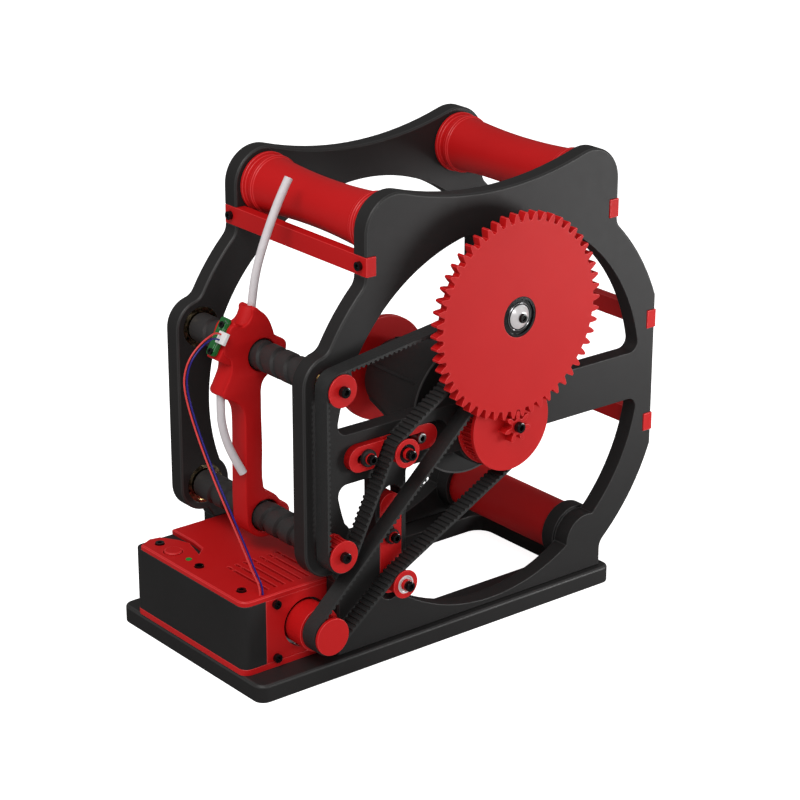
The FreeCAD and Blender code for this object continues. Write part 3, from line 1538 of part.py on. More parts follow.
def cord(name, points, r, bore=0):
    """A tube of straight runs joined by tangent arcs."""
    p = [Vector(*point) for point in points]
    edges = []
    radii = []
    start = p[0]
    for k in range(1, len(p) - 1):
        before, after = p[k] - p[k - 1], p[k + 1] - p[k]
        reach = 0.45 * min(before.Length, after.Length)
        half = before.getAngle(after) / 2
        radius = reach / math.tan(half)
        ua, ub = before.normalize(), after.normalize()
        first, last = p[k] - ua * reach, p[k] + ub * reach
        inward = (ub - ua).normalize()
        mid = p[k] + inward * (radius / math.cos(half) - radius)
        edges.append(Part.makeLine(start, first))
        edges.append(Part.Arc(first, mid, last).toShape())
        radii.append(radius)
        start = last
    edges.append(Part.makeLine(start, p[-1]))
    path = Part.Wire(edges)
    tube = swept(path, p, r)
    section = math.pi * r ** 2
    if bore:
        tube = tube.cut(swept(path, p, bore))
        section -= math.pi * bore ** 2
    print(name, "least radius %.1f" % min(radii), "volume share %.4f" % (tube.Volume / (section * path.Length)))
    return tube


def swept(path, p, r):
    profile = Part.Wire([Part.makeCircle(r, p[0], p[1] - p[0])])
    return path.makePipeShell([profile], True, False)


clamps = [(upper_clamp_x, hub_z, raised_face), (post_x, lower_clamp_z, slider_front)]

parts["base_plate"] = base_plate()
parts["near_side_frame"] = near_frame()
parts["far_side_frame"] = far_frame()
parts["front_cross_bar"] = cross_bar(top_front, upper_bar_z)
parts["rear_cross_bars"] = Part.makeCompound([
    cross_bar(top_rear - bar_depth, upper_bar_z),
    cross_bar(rear_flat_x - bar_depth, middle_bar_z),
    cross_bar(rear_flat_x - bar_depth, lower_bar_z),
])
parts["small_socket_screws"] = Part.makeCompound(base_screws() + bar_screws() + lid_screws() + face_screws())
parts["tie_tube"] = tie_tube()
parts["front_roller"] = roller(front_horn_x)
parts["rear_roller"] = roller(rear_horn_x)
parts["front_roller_bearings"] = roller_bearings(front_horn_x)
parts["rear_roller_bearings"] = roller_bearings(rear_horn_x)
parts["roller_axles"] = roller_axles()
parts["frame_bearings"] = frame_bearings()
parts["upper_reversing_rod"] = reversing_rod(upper_rod_z, 1)
parts["lower_reversing_rod"] = reversing_rod(lower_rod_z, -1)
parts["upper_rod_pulley"] = rod_pulley(upper_rod_z, groove_phase(lead_path, 0))
parts["lower_rod_pulley"] = rod_pulley(lower_rod_z, groove_phase(lead_path, 1))
parts["upper_rod_screw"] = pulley_screw(rod_x, idler_front, upper_rod_z)
parts["lower_rod_screw"] = pulley_screw(rod_x, idler_front, lower_rod_z)
parts["lead_belt"] = belt(lead_path, [True, True, False, True])
parts["drive_belt"] = belt(drive_path, [True, False, True])
parts["winding_gear"] = main_gear()
parts["gear_bearing"] = gear_bearing()
parts["gear_axle_bolt"] = gear_axle()
parts["lead_pulley"] = lead_pulley()
parts["drive_pinion"] = pinion()
parts["hub_screw"] = pulley_screw(hub_x, pinion_front, hub_z)
parts["drive_pulley"] = drive_pulley()
parts["hub_shaft"] = hub_shaft()
parts["spool_hub"] = spool_cone()
parts["clamp_nut"] = clamp_nut()
parts["upper_idler"] = idler(upper_idler_x, hub_z)
parts["lower_idler"] = idler(post_x, lower_idler_z)
parts["upper_idler_bearings"] = idler_bearings(upper_idler_x, hub_z)
parts["lower_idler_bearings"] = idler_bearings(post_x, lower_idler_z)
parts["upper_idler_bolt"] = idler_bolt(upper_idler_x, hub_z)
parts["lower_idler_bolt"] = idler_bolt(post_x, lower_idler_z)
parts["upper_tension_slider"] = upper_slider()
parts["lower_tension_slider"] = lower_slider()
parts["slider_clamp_screws"] = Part.makeCompound([clamp_screw(*place) for place in clamps]
                                                 + [stud(upper_stud_x, hub_z)])
parts["slider_clamp_washers"] = Part.makeCompound([ring for place in clamps for ring in clamp_washers(*place)])
parts["clamp_plates"] = Part.makeCompound([
    clamp_plate(upper_clamp_x, hub_z, clamp_plate_length, spoke_width - 2 * plate_side_gap),
    clamp_plate(upper_stud_x, hub_z, clamp_plate_length, spoke_width - 2 * plate_side_gap),
    clamp_plate(post_x, lower_clamp_z, post_width - plate_side_gap, clamp_plate_length),
])
parts["box_floor"] = box_floor()
parts["box_shell"] = box_shell()
parts["box_lid"] = box_lid()
parts["box_face_plate"] = face_plate()
parts["power_button"] = power_button()
parts["status_lamp"] = status_lamp()
parts["control_electronics"] = control_electronics()
parts["drive_motor"] = drive_motor()
parts["motor_shaft"] = motor_shaft()
parts["motor_pulley"] = motor_pulley()
parts["level_wind_guide"] = level_wind_guide()
parts["sensor_board"] = sensor_board()
parts["sensor_screws"] = sensor_screws()
parts["wire_connector"] = wire_connector()
parts["upper_filament_tube"] = cord("upper tube", from_upper_rod(upper_tube_points), filament_tube_r,
                                    filament_bore_r)
parts["lower_filament_tube"] = cord("lower tube", from_upper_rod(lower_tube_points), filament_tube_r,
                                    filament_bore_r)
parts["red_sensor_wire"] = cord("red wire", from_upper_rod(red_wire_points) + from_lid(red_wire_end), wire_r)
parts["blue_sensor_wire"] = cord("blue wire", from_upper_rod(blue_wire_points) + from_lid(blue_wire_end), wire_r)

to_middle = Vector(-middle_x, -middle_y, 0)
print("all pieces move by", to_middle)

os.makedirs("parts", exist_ok=True)
for name, shape in parts.items():
    shape.translate(to_middle)
    shape.exportStep("parts/%s.step" % name)
    print(name, "solids", len(shape.Solids), "volume %.0f" % shape.Volume, "valid", shape.isValid())
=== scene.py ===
import bmesh
import bpy
import json
import math
from mathutils import Matrix, Vector


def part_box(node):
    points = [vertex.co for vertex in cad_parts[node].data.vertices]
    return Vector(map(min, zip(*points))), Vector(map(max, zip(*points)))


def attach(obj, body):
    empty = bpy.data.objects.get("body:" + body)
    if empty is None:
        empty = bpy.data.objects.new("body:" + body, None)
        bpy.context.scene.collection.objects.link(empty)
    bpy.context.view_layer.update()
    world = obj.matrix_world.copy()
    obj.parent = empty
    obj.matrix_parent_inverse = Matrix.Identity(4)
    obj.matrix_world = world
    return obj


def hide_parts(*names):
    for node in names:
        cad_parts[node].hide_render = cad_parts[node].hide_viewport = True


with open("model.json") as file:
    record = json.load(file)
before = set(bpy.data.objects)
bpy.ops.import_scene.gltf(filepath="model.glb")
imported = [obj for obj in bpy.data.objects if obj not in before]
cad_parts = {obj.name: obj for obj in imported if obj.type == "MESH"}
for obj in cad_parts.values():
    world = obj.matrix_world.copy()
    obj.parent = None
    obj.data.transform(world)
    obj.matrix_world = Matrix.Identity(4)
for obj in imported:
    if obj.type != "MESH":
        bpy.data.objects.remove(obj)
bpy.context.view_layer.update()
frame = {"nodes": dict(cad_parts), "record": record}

print("frame loaded:", len(frame["nodes"]), "pieces")

# Places are written in millimetres from the centre of the base's underside, as on the drawing.
# The model's own origin lies under the middle of the whole machine.
drawing = {"moveX": -16.5, "moveY": 11.3, "unit": 0.001}


def at(x, y, z):
    return Vector((x + drawing["moveX"], y + drawing["moveY"], z)) * drawing["unit"]


def mm(value):
    return value * drawing["unit"]


# Camera, measured from the photograph's own perspective
view = {
    "place": (-791.94, -1015.28, 611.17),
    "azimuth": -38.677,
    "elevation": 20.918,
    "roll": 0.089,
    "focal": 2547.0,
    "frame": 800.0,
    "sensor": 36.0,
    "clip": (0.05, 20.0),
}


def makeCamera():
    turn = math.radians(view["azimuth"])
    drop = math.radians(view["elevation"])
    roll = math.radians(view["roll"])
    forward = Vector((-math.sin(turn) * math.cos(drop), math.cos(turn) * math.cos(drop), -math.sin(drop)))
    right = forward.cross(Vector((0, 0, 1))).normalized()
    up = right.cross(forward)
    camera = bpy.data.objects.new("studioCamera", bpy.data.cameras.new("studioCamera"))
    camera.data.sensor_width = view["sensor"]
    camera.data.lens = view["sensor"] * view["focal"] / view["frame"]
    camera.data.clip_start, camera.data.clip_end = view["clip"]
    bpy.context.scene.collection.objects.link(camera)
    facing = Matrix((right, up, -forward)).transposed() @ Matrix.Rotation(roll, 3, "Z")
    camera.matrix_world = Matrix.Translation(at(*view["place"])) @ facing.to_4x4()
    bpy.context.scene.camera = camera


makeCamera()
print("camera placed")

slotOf = {row["node"]: row["material_slot"] for row in frame["record"]["subparts"]}
behaviour = frame["record"]["behaviour"]
bodyOf = {node: body for body, nodes in behaviour["bodies"].items() for node in nodes}
jointPlaces = {row["name"]: row["pos_m"] for row in behaviour["joints"] if "pos_m" in row}


# The place of a joint on the drawing
def axisOf(joint):
    x, y, z = [length / drawing["unit"] for length in jointPlaces[joint]]
    return (round(x - drawing["moveX"], 3), round(y - drawing["moveY"], 3), round(z, 3))


# Where a node's rear end lies, as a distance in front of y = 0
def rearOf(node):
    return -(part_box(node)[1][1] / drawing["unit"] - drawing["moveY"])


# Nearly all of a noise lies in this range
noiseRange = {"From Min": 0.3, "From Max": 0.7}
# Sockets of a Mix node that mixes colours
colourMix = {"share": 0, "first": 6, "second": 7, "result": 2}


# A socket of a shader node, so that patterns can be written as sums and products
class Term:
    def __init__(self, finish, socket):
        self.finish = finish
        self.socket = socket

    def join(self, operation, first, second):
        return self.finish.node("ShaderNodeMath", {"operation": operation}, [first, second])

    def __add__(self, other):
        return self.join("ADD", self, other)

    def __radd__(self, other):
        return self.join("ADD", other, self)

    def __sub__(self, other):
        return self.join("SUBTRACT", self, other)

    def __rsub__(self, other):
        return self.join("SUBTRACT", other, self)

    def __mul__(self, other):
        return self.join("MULTIPLY", self, other)

    def __rmul__(self, other):
        return self.join("MULTIPLY", other, self)


class Finish:
    def __init__(self, name, **constants):
        self.material = bpy.data.materials.new(name)
        self.material.use_nodes = True
        self.tree = self.material.node_tree
        self.shader = self.tree.nodes["Principled BSDF"]
        for key, value in constants.items():
            self.shader.inputs[key].default_value = value

    def node(self, kind, settings=None, inputs=None, output=0):
        made = self.tree.nodes.new(kind)
        for key, value in (settings or {}).items():
            setattr(made, key, value)
        given = inputs.items() if isinstance(inputs, dict) else enumerate(inputs or [])
        for key, value in given:
            if isinstance(value, Term):
                self.tree.links.new(value.socket, made.inputs[key])
            else:
                made.inputs[key].default_value = value
        return Term(self, made.outputs[output])

    def noise(self, scale, detail):
        where = self.node("ShaderNodeTexCoord", output="Object")
        return self.node("ShaderNodeTexNoise", {}, {"Vector": where, "Scale": scale, "Detail": detail})

    def between(self, mask, low, high):
        inputs = {"Value": mask, "To Min": low, "To Max": high, **noiseRange}
        return self.node("ShaderNodeMapRange", {}, inputs)

    def mix(self, mask, first, second):
        inputs = {colourMix["share"]: mask, colourMix["first"]: first, colourMix["second"]: second}
        return self.node("ShaderNodeMix", {"data_type": "RGBA"}, inputs, output=colourMix["result"])

    def bump(self, height, strength, distance):
        inputs = {"Height": height, "Strength": strength, "Distance": distance}
        return self.node("ShaderNodeBump", {}, inputs)

    def feed(self, **sockets):
        for key, value in sockets.items():
            name = {"Base": "Base Color", "Normal": "Normal", "Roughness": "Roughness"}[key]
            self.tree.links.new(value.socket, self.shader.inputs[name])
        return self.material


def shade(r, g, b):
    return (r, g, b, 1.0)


# Moulded plastic: clouds and specks shift the colour, patches the roughness, and pores are fine dents.
# Each noise has its scale and its detail.
plastic = {
    "clouds": (24.0, 2.0), "specks": (2600.0, 2.0), "speckShare": 0.2,
    "patches": (160.0, 3.0), "patchSpread": 0.012,
    "pores": (1500.0, 3.0), "poreStrength": 0.35, "poreDepth": 0.00003,
}


def mouldedPlastic(name, dark, light, roughness, specular=0.5):
    finish = Finish(name, **{"Specular IOR Level": specular})
    share = plastic["speckShare"]
    clouds = finish.noise(*plastic["clouds"]) * (1 - share)
    specks = finish.noise(*plastic["specks"]) * share
    colour = finish.mix(finish.between(clouds + specks, 0.0, 1.0), shade(*dark), shade(*light))
    spread = plastic["patchSpread"]
    rough = finish.between(finish.noise(*plastic["patches"]), roughness - spread, roughness + spread)
    pores = finish.bump(finish.noise(*plastic["pores"]), plastic["poreStrength"], plastic["poreDepth"])
    return finish.feed(Base=colour, Roughness=rough, Normal=pores)


finishes = {
    "black_plastic": mouldedPlastic(
        "charcoalPlastic", (0.0150, 0.0141, 0.0141), (0.0185, 0.0175, 0.0175), 0.56, specular=0.35),
    "red_plastic": mouldedPlastic(
        "redPlastic", (0.485, 0.0062, 0.0072), (0.525, 0.0075, 0.0085), 0.52, specular=0.15),
    "rod_plastic": mouldedPlastic("rodPlastic", (0.026, 0.024, 0.024), (0.032, 0.030, 0.030), 0.50),
}
# Along their rounded edges both plastics are painted lighter: a painted highlight where the edges would
# catch the light
edgeHighlightFinishes = {
    "black_plastic": mouldedPlastic("charcoalPaintedHighlight", (0.026, 0.025, 0.025), (0.036, 0.035, 0.035), 0.48),
    "red_plastic": mouldedPlastic("redPaintedHighlight", (0.61, 0.020, 0.022), (0.67, 0.027, 0.029), 0.40),
}


# Plain finishes: clouds dim the colour, and the roughness varies between two shares of its value.
# Coat is the roughness of a clear coat.
plain = {"cloudDetail": 3.0, "patchFiner": 2, "patchDetail": 2.0, "shares": (0.85, 1.15), "coat": 0.08}


def plainFinish(name, colour, roughness, metallic=0.0, coat=0.0, variation=0.08, scale=300.0):
    finish = Finish(name, **{"Metallic": metallic, "Coat Weight": coat, "Coat Roughness": plain["coat"]})
    clouds = finish.between(finish.noise(scale, plain["cloudDetail"]), 0.0, 1.0)
    dim = shade(*[channel * (1 - variation) for channel in colour])
    low, high = [roughness * share for share in plain["shares"]]
    rough = finish.between(finish.noise(scale * plain["patchFiner"], plain["patchDetail"]), low, high)
    return finish.feed(Base=finish.mix(clouds, dim, shade(*colour)), Roughness=rough)


plainFinishes = {
    "black_screw": {"name": "blackOxide", "colour": (0.003, 0.003, 0.0035), "roughness": 0.12},
    # a noise mottles the bearing steel between near black and bright gold: painted glints and reflections
    "bearing_steel": {"name": "bearingSteelPaintedGlints", "colour": (0.80, 0.64, 0.38), "roughness": 0.14,
                      "metallic": 1.0, "variation": 0.95, "scale": 420.0},
    "bright_steel": {"name": "brightSteel", "colour": (0.80, 0.80, 0.82), "roughness": 0.18,
                     "metallic": 1.0},
    "stud_steel": {"name": "brushedStud", "colour": (0.42, 0.42, 0.42), "roughness": 0.38, "metallic": 1.0},
    "belt_rubber": {"name": "beltRubber", "colour": (0.020, 0.020, 0.020), "roughness": 0.62},
    "circuit_green": {"name": "solderMask", "colour": (0.010, 0.13, 0.025), "roughness": 0.35, "coat": 0.3},
    "trace_green": {"name": "tinnedTrace", "colour": (0.22, 0.50, 0.26), "roughness": 0.35, "metallic": 0.2},
    "lamp_green": {"name": "lampLens", "colour": (0.03, 0.30, 0.05), "roughness": 0.25, "coat": 0.5},
    "connector_white": {"name": "connectorShell", "colour": (0.82, 0.82, 0.82), "roughness": 0.45},
    "clear_tube": {"name": "milkyTube", "colour": (0.67, 0.63, 0.65), "roughness": 0.45},
    "wire_red": {"name": "redInsulation", "colour": (0.70, 0.045, 0.045), "roughness": 0.40},
    "wire_blue": {"name": "blueInsulation", "colour": (0.016, 0.008, 0.20), "roughness": 0.40},
    "sealed_ring": {"name": "sealedRing", "colour": (0.004, 0.004, 0.005), "roughness": 0.10},
    "washer_white": {"name": "polishedWasher", "colour": (0.92, 0.90, 0.91), "roughness": 0.22,
                     "metallic": 0.35, "coat": 0.6},
    # the hub rim's light grey is a painted highlight along the flange's chamfered edge
    "hub_rim": {"name": "rimPaintedHighlight", "colour": (0.085, 0.083, 0.083), "roughness": 0.40},
}
for slot, facts in plainFinishes.items():
    finishes[slot] = plainFinish(**facts)
print("finishes mixed:", len(finishes))

# Nodes that look other than their slot
dressedOtherwise = {
    "upper_reversing_rod": "rod_plastic", "lower_reversing_rod": "rod_plastic",
    "upper_idler_bearings": "sealed_ring", "lower_idler_bearings": "washer_white",
}
for node in frame["nodes"]:
    materials = frame["nodes"][node].data.materials
    materials.clear()
    materials.append(finishes[dressedOtherwise.get(node, slotOf[node])])


# A visible piece rides with the node that it stands for, which it hides
def keep(piece, *stands):
    if not piece.users_collection:
        bpy.context.scene.collection.objects.link(piece)
    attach(piece, bodyOf[stands[0]])
    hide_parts(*stands)


# Rounded copies of the CAD pieces: edge width in millimetres
edgeWidths = {
    "near_side_frame": 0.45, "far_side_frame": 0.45, "base_plate": 0.6, "front_cross_bar": 0.35,
    "rear_cross_bars": 0.35, "winding_gear": 0.25, "drive_pinion": 0.2, "drive_pulley": 0.2,
    "upper_rod_pulley": 0.2, "lower_rod_pulley": 0.2, "motor_pulley": 0.25, "lead_pulley": 0.15,
    "upper_idler": 0.2, "lower_idler": 0.2, "upper_tension_slider": 0.3, "lower_tension_slider": 0.3,
    "box_shell": 0.3, "box_lid": 0.3, "box_face_plate": 0.3, "box_floor": 0.3, "clamp_nut": 0.5,
    "front_roller": 0.3, "rear_roller": 0.3, "tie_tube": 0.3, "power_button": 0.25, "clamp_plates": 0.3,
    "wire_connector": 0.3,
}
# Angles between faces, in degrees: below flat they become one face, above sharp their edge stays sharp
angles = {"flat": 0.3, "sharp": 30.0, "sharpBuilt": 35.0}
# Points closer than this, in millimetres, become one
weld = {"copied": 0.001, "turned": 0.0005, "plate": 0.001}


def smoothExceptSharp(work, limit):
    for face in work.faces:
        face.smooth = True
    for edge in work.edges:
        if len(edge.link_faces) == 2 and edge.calc_face_angle() > math.radians(limit):
            edge.smooth = False


def cleaned(work, data):
    bmesh.ops.remove_doubles(work, verts=work.verts, dist=mm(weld["copied"]))
    flat = math.radians(angles["flat"])
    bmesh.ops.dissolve_limit(work, angle_limit=flat, verts=work.verts, edges=work.edges)
    smoothExceptSharp(work, angles["sharp"])
    work.to_mesh(data)
    work.free()
    return data


def mergedCopy(name, node):
    data = frame["nodes"][node].data.copy()
    work = bmesh.new()
    work.from_mesh(data)
    data = cleaned(work, data)
    data.name = name
    return bpy.data.objects.new(name, data)


def roundEdges(piece, width, slot):
    piece.data.materials.clear()
    piece.data.materials.append(finishes[slot])
    rounded = piece.modifiers.new("edges", "BEVEL")
    # the rounded edge faces take the lighter edge finish, a painted highlight
    if slot in edgeHighlightFinishes:
        piece.data.materials.append(edgeHighlightFinishes[slot])
        rounded.material = 1
    rounded.width = mm(width)
    rounded.segments = 2
    rounded.limit_method = "ANGLE"
    rounded.angle_limit = math.radians(angles["sharp"])
    rounded.use_clamp_overlap = False
    rounded.harden_normals = True
    return piece


# Turned and built shapes are made in millimetres about their own axis, then set in place on the drawing.
# Set along "near", a height of 60 is the place y = -60.
near = (0, -1, 0)
# Sides of a turned shape
sides = {"nut": 6, "drop": 16, "shank": 24, "screw": 48, "cone": 64, "ring": 96}


def turnedShape(profile, steps):
    work = bmesh.new()
    corners = [work.verts.new((radius, 0.0, height)) for radius, height in profile]
    edges = [work.edges.new(pair) for pair in zip(corners, corners[1:])]
    bmesh.ops.spin(work, geom=corners + edges, cent=(0, 0, 0), axis=(0, 0, 1), angle=math.tau,
                   steps=steps, use_merge=True)
    bmesh.ops.remove_doubles(work, verts=work.verts, dist=weld["turned"])
    bmesh.ops.recalc_face_normals(work, faces=work.faces)
    return work


# A block with all its edges rounded, or only the upright ones
def blockShape(size, rounding, upright=False):
    work = bmesh.new()
    bmesh.ops.create_cube(work, size=1.0)
    bmesh.ops.scale(work, vec=size, verts=work.verts)
    edges = [edge for edge in work.edges
             if not upright or abs(edge.verts[0].co.z - edge.verts[1].co.z) > size[2] / 2]
    bmesh.ops.bevel(work, geom=edges, offset=rounding, segments=4, profile=0.5, affect="EDGES", material=-1)
    return work


def moved(work, offset):
    bmesh.ops.translate(work, vec=offset, verts=work.verts)
    return work


def turned(work, angle, axis):
    bmesh.ops.rotate(work, cent=(0, 0, 0), matrix=Matrix.Rotation(angle, 3, axis), verts=work.verts)
    return work


def setIn(work, place, direction=near):
    turn = Vector(direction).to_track_quat("Z", "Y").to_matrix().to_4x4()
    scale = Matrix.Scale(drawing["unit"], 4)
    bmesh.ops.transform(work, matrix=Matrix.Translation(at(*place)) @ turn @ scale, verts=work.verts)
    return work


def fillCuts(work):
    bmesh.ops.holes_fill(work, edges=[edge for edge in work.edges if edge.is_boundary], sides=0)


def addTo(whole, work):
    passing = bpy.data.meshes.new("passing")
    work.to_mesh(passing)
    work.free()
    whole.from_mesh(passing)
    bpy.data.meshes.remove(passing)


# One visible piece from several closed shapes, each with the name of its finish
def assemble(name, parts, *stands):
    whole = bmesh.new()
    used = []
    for work, finish in parts:
        if finish not in used:
            used.append(finish)
        for face in work.faces:
            face.material_index = used.index(finish)
        smoothExceptSharp(work, angles["sharpBuilt"])
        addTo(whole, work)
    data = bpy.data.meshes.new(name)
    whole.to_mesh(data)
    whole.free()
    for finish in used:
        data.materials.append(finishes[finish])
    keep(bpy.data.objects.new(name, data), *stands)


# The near frame is open between its arms, down to a small boss round the hub's bearing
hubWindows = {"boss": 27.0, "reach": 60.0, "near": 62.0, "far": 50.0, "arm": 13.75}
# Each window is what is left of a full ring once these directions are cut away from it
windowSides = (((1, 0, 0), (0, -1, 0)), ((-1, 0, 0), (0, -1, 0)), ((0, 1, 0),))


def windowCutters():
    whole = bmesh.new()
    facts = hubWindows
    corners = (("boss", "far"), ("reach", "far"), ("reach", "near"), ("boss", "near"), ("boss", "far"))
    section = [(facts[radius], facts[height]) for radius, height in corners]
    for directions in windowSides:
        ringPart = turnedShape(section, sides["ring"])
        for side in directions:
            geometry = ringPart.verts[:] + ringPart.edges[:] + ringPart.faces[:]
            bmesh.ops.bisect_plane(ringPart, geom=geometry, plane_co=Vector(side) * -facts["arm"],
                                   plane_no=side, clear_outer=True)
            fillCuts(ringPart)
        bmesh.ops.recalc_face_normals(ringPart, faces=ringPart.faces)
        addTo(whole, setIn(ringPart, axisOf("hub_spin")))
    data = bpy.data.meshes.new("windowCutters")
    whole.to_mesh(data)
    whole.free()
    return bpy.data.objects.new("windowCutters", data)


def openedFrame():
    piece = mergedCopy("near_side_frame.moulded", "near_side_frame")
    cutters = windowCutters()
    for each in (piece, cutters):
        bpy.context.scene.collection.objects.link(each)
    cut = piece.modifiers.new("windows", "BOOLEAN")
    cut.operation = "DIFFERENCE"
    cut.solver = "EXACT"
    cut.object = cutters
    made = bpy.data.meshes.new_from_object(piece.evaluated_get(bpy.context.evaluated_depsgraph_get()))
    piece.modifiers.clear()
    work = bmesh.new()
    work.from_mesh(made)
    piece.data = cleaned(work, made)
    bpy.data.objects.remove(cutters)
    return piece


for node, width in edgeWidths.items():
    piece = openedFrame() if node == "near_side_frame" else mergedCopy(node + ".moulded", node)
    keep(roundEdges(piece, width, slotOf[node]), node)
print("edges rounded:", len(edgeWidths))

# Spool hub: a long cone whose flange stands a little clear of the near frame
spoolCone = {
    "profile": [
        (4.6, -33.6), (12.0, -33.6), (12.0, -25.0), (20.0, -25.0), (20.4, -24.6), (36.4, 34.4),
        (37.4, 35.2), (38.1, 35.4), (38.3, 35.7), (38.3, 39.5), (37.8, 40.0), (14.0, 40.0),
        (14.0, 46.4), (4.6, 46.4), (4.6, -33.6),
    ],
    "rim": [(37.4, 39.6), (38.4, 39.6), (38.4, 40.0), (38.1, 40.2), (37.4, 40.2), (37.4, 39.6)],
    # the cone grows by this radius over this height
    "widens": 16.0, "rises": 59.0,
    "rib": {"size": (1.6, 2.2, 60.0), "rounding": 0.4, "middle": (28.83, 0, 6.5),
            "angles": (30, 90, 150, 210, 270, 330)},
}


def makeSpoolCone():
    place = axisOf("hub_spin")
    parts = [(setIn(turnedShape(spoolCone["profile"], sides["ring"]), place), "black_plastic"),
             # a thin ring at the flange's edge in lighter grey, a painted highlight
             (setIn(turnedShape(spoolCone["rim"], sides["ring"]), place), "hub_rim")]
    lean = math.atan2(spoolCone["widens"], spoolCone["rises"])
    facts = spoolCone["rib"]
    for angle in facts["angles"]:
        rib = moved(turned(blockShape(facts["size"], facts["rounding"]), lean, "Y"), facts["middle"])
        parts.append((setIn(turned(rib, math.radians(angle), "Z"), place), "black_plastic"))
    assemble("spool_hub.cone", parts, "spool_hub")


makeSpoolCone()
print("spool hub turned")

# Screws: a rounded head with a six-sided socket. Edge, brim and hexagon are shares of the head's radius,
# chamfer is a share of the edge, and deep a share of the head's height.
socketScrew = {"edge": 0.16, "chamfer": 0.3, "brim": 0.72, "hexagon": 0.56, "deep": 0.5}
# How far a nut's corners lie from its middle, for each millimetre to its flats
nutCorner = 1.155


def screwHead(radius, height, seat):
    edge = radius * socketScrew["edge"]
    chamfer = edge * socketScrew["chamfer"]
    work = turnedShape([(0, 0), (radius, 0), (radius, height - edge), (radius - chamfer, height - chamfer),
                        (radius - edge, height), (radius * socketScrew["brim"], height)], sides["screw"])
    made = bmesh.ops.create_circle(work, cap_ends=False, segments=sides["nut"],
                                   radius=radius * socketScrew["hexagon"])
    bmesh.ops.translate(work, vec=(0, 0, height), verts=made["verts"])
    bmesh.ops.bridge_loops(work, edges=[edge for edge in work.edges if len(edge.link_faces) < 2])
    hexagon = [edge for edge in work.edges if edge.is_boundary]
    pulled = bmesh.ops.extrude_edge_only(work, edges=hexagon)["geom"]
    lowered = [each for each in pulled if isinstance(each, bmesh.types.BMVert)]
    bmesh.ops.translate(work, vec=(0, 0, -height * socketScrew["deep"]), verts=lowered)
    fillCuts(work)
    bmesh.ops.recalc_face_normals(work, faces=work.faces)
    return moved(work, (0, 0, seat))


def shank(radius, start, end):
    return turnedShape([(0, start), (radius, start), (radius, end), (0, end)], sides["shank"])


def nutShape(halfFlat, start, end):
    corner = halfFlat * nutCorner
    return turnedShape([(0, start), (corner, start), (corner, end), (0, end)], sides["nut"])


def washer(outer, inner, start, end, edge=0.25):
    return turnedShape([(inner, start), (outer, start), (outer, end - edge), (outer - edge, end),
                        (inner, end), (inner, start)], sides["screw"])


# Axle screws of the two idlers. Heights are distances in front of y = 0, the nut's from the rear end.
axleScrew = {
    "joints": {"upper_idler_bolt": "upper_idler_spin", "lower_idler_bolt": "lower_idler_spin"},
    "shank": 1.9, "washer": 3.1, "seat": 73.5, "top": 75.4, "head": (2.75, 2.8),
    "nut": 3.5, "nutSpan": (0.4, 3.0),
}


def makeAxleScrews():
    facts = axleScrew
    for node, joint in facts["joints"].items():
        place = axisOf(joint)
        rear = rearOf(node)
        nutStart, nutEnd = [rear + height for height in facts["nutSpan"]]
        parts = [
            (washer(facts["washer"], facts["shank"], facts["seat"], facts["top"]), "red_plastic"),
            (screwHead(*facts["head"], facts["top"]), "black_screw"),
            (shank(facts["shank"], rear, facts["top"]), "black_screw"),
            (nutShape(facts["nut"], nutStart, nutEnd), "black_screw"),
        ]
        assemble(node + ".screw", [(setIn(work, place), finish) for work, finish in parts], node)


makeAxleScrews()

# Clamp screws of the two sliders, each through a black spacer and a red washer, and the upper slider's stud
clampScrew = {
    "places": [
        {"x": -52.5, "z": 119.5, "face": 65.0, "spacer": 4.7},
        {"x": -34.0, "z": 69.5, "face": 61.0, "spacer": 4.2},
    ],
    "spacerThick": 2.2, "spacerEdge": 0.5, "washer": 3.0, "washerThick": 0.9,
    "head": (2.7, 2.4), "shank": 1.9, "rear": 47.8,
}
stud = {"x": -14.0, "z": 119.5, "head": (2.8, 1.1), "seat": 61.2, "shank": 1.9, "rear": 50.0}


def makeClampScrews():
    parts = []
    for facts in clampScrew["places"]:
        place = (facts["x"], 0.0, facts["z"])
        hole = clampScrew["shank"]
        top = facts["face"] + clampScrew["spacerThick"]
        seat = top + clampScrew["washerThick"]
        spacer = washer(facts["spacer"], hole, facts["face"], top, clampScrew["spacerEdge"])
        parts += [
            (setIn(spacer, place), "black_plastic"),
            (setIn(washer(clampScrew["washer"], hole, top, seat), place), "red_plastic"),
            (setIn(screwHead(*clampScrew["head"], seat), place), "black_screw"),
            (setIn(shank(hole, clampScrew["rear"], seat), place), "black_screw"),
        ]
    place = (stud["x"], 0.0, stud["z"])
    parts += [(setIn(screwHead(*stud["head"], stud["seat"]), place), "stud_steel"),
              (setIn(shank(stud["shank"], stud["rear"], stud["seat"]), place), "stud_steel")]
    assemble("slider_clamps.screws", parts, "slider_clamp_screws", "slider_clamp_washers")


makeClampScrews()

# Screws in the ends of the shafts, which turn with them
shaftScrew = {
    "places": {
        "upper_rod_screw": {"joint": "upper_rod_spin", "seat": 73.6},
        "lower_rod_screw": {"joint": "lower_rod_spin", "seat": 73.6},
        "hub_screw": {"joint": "hub_spin", "seat": 80.6},
    },
    "head": (2.9, 2.8), "shank": 1.4,
}


def makeShaftScrews():
    for node, facts in shaftScrew["places"].items():
        place = axisOf(facts["joint"])
        pin = shank(shaftScrew["shank"], rearOf(node), facts["seat"])
        parts = [(setIn(screwHead(*shaftScrew["head"], facts["seat"]), place), "black_screw"),
                 (setIn(pin, place), "black_screw")]
        assemble(node + ".screw", parts, node)


makeShaftScrews()
print("screws set")

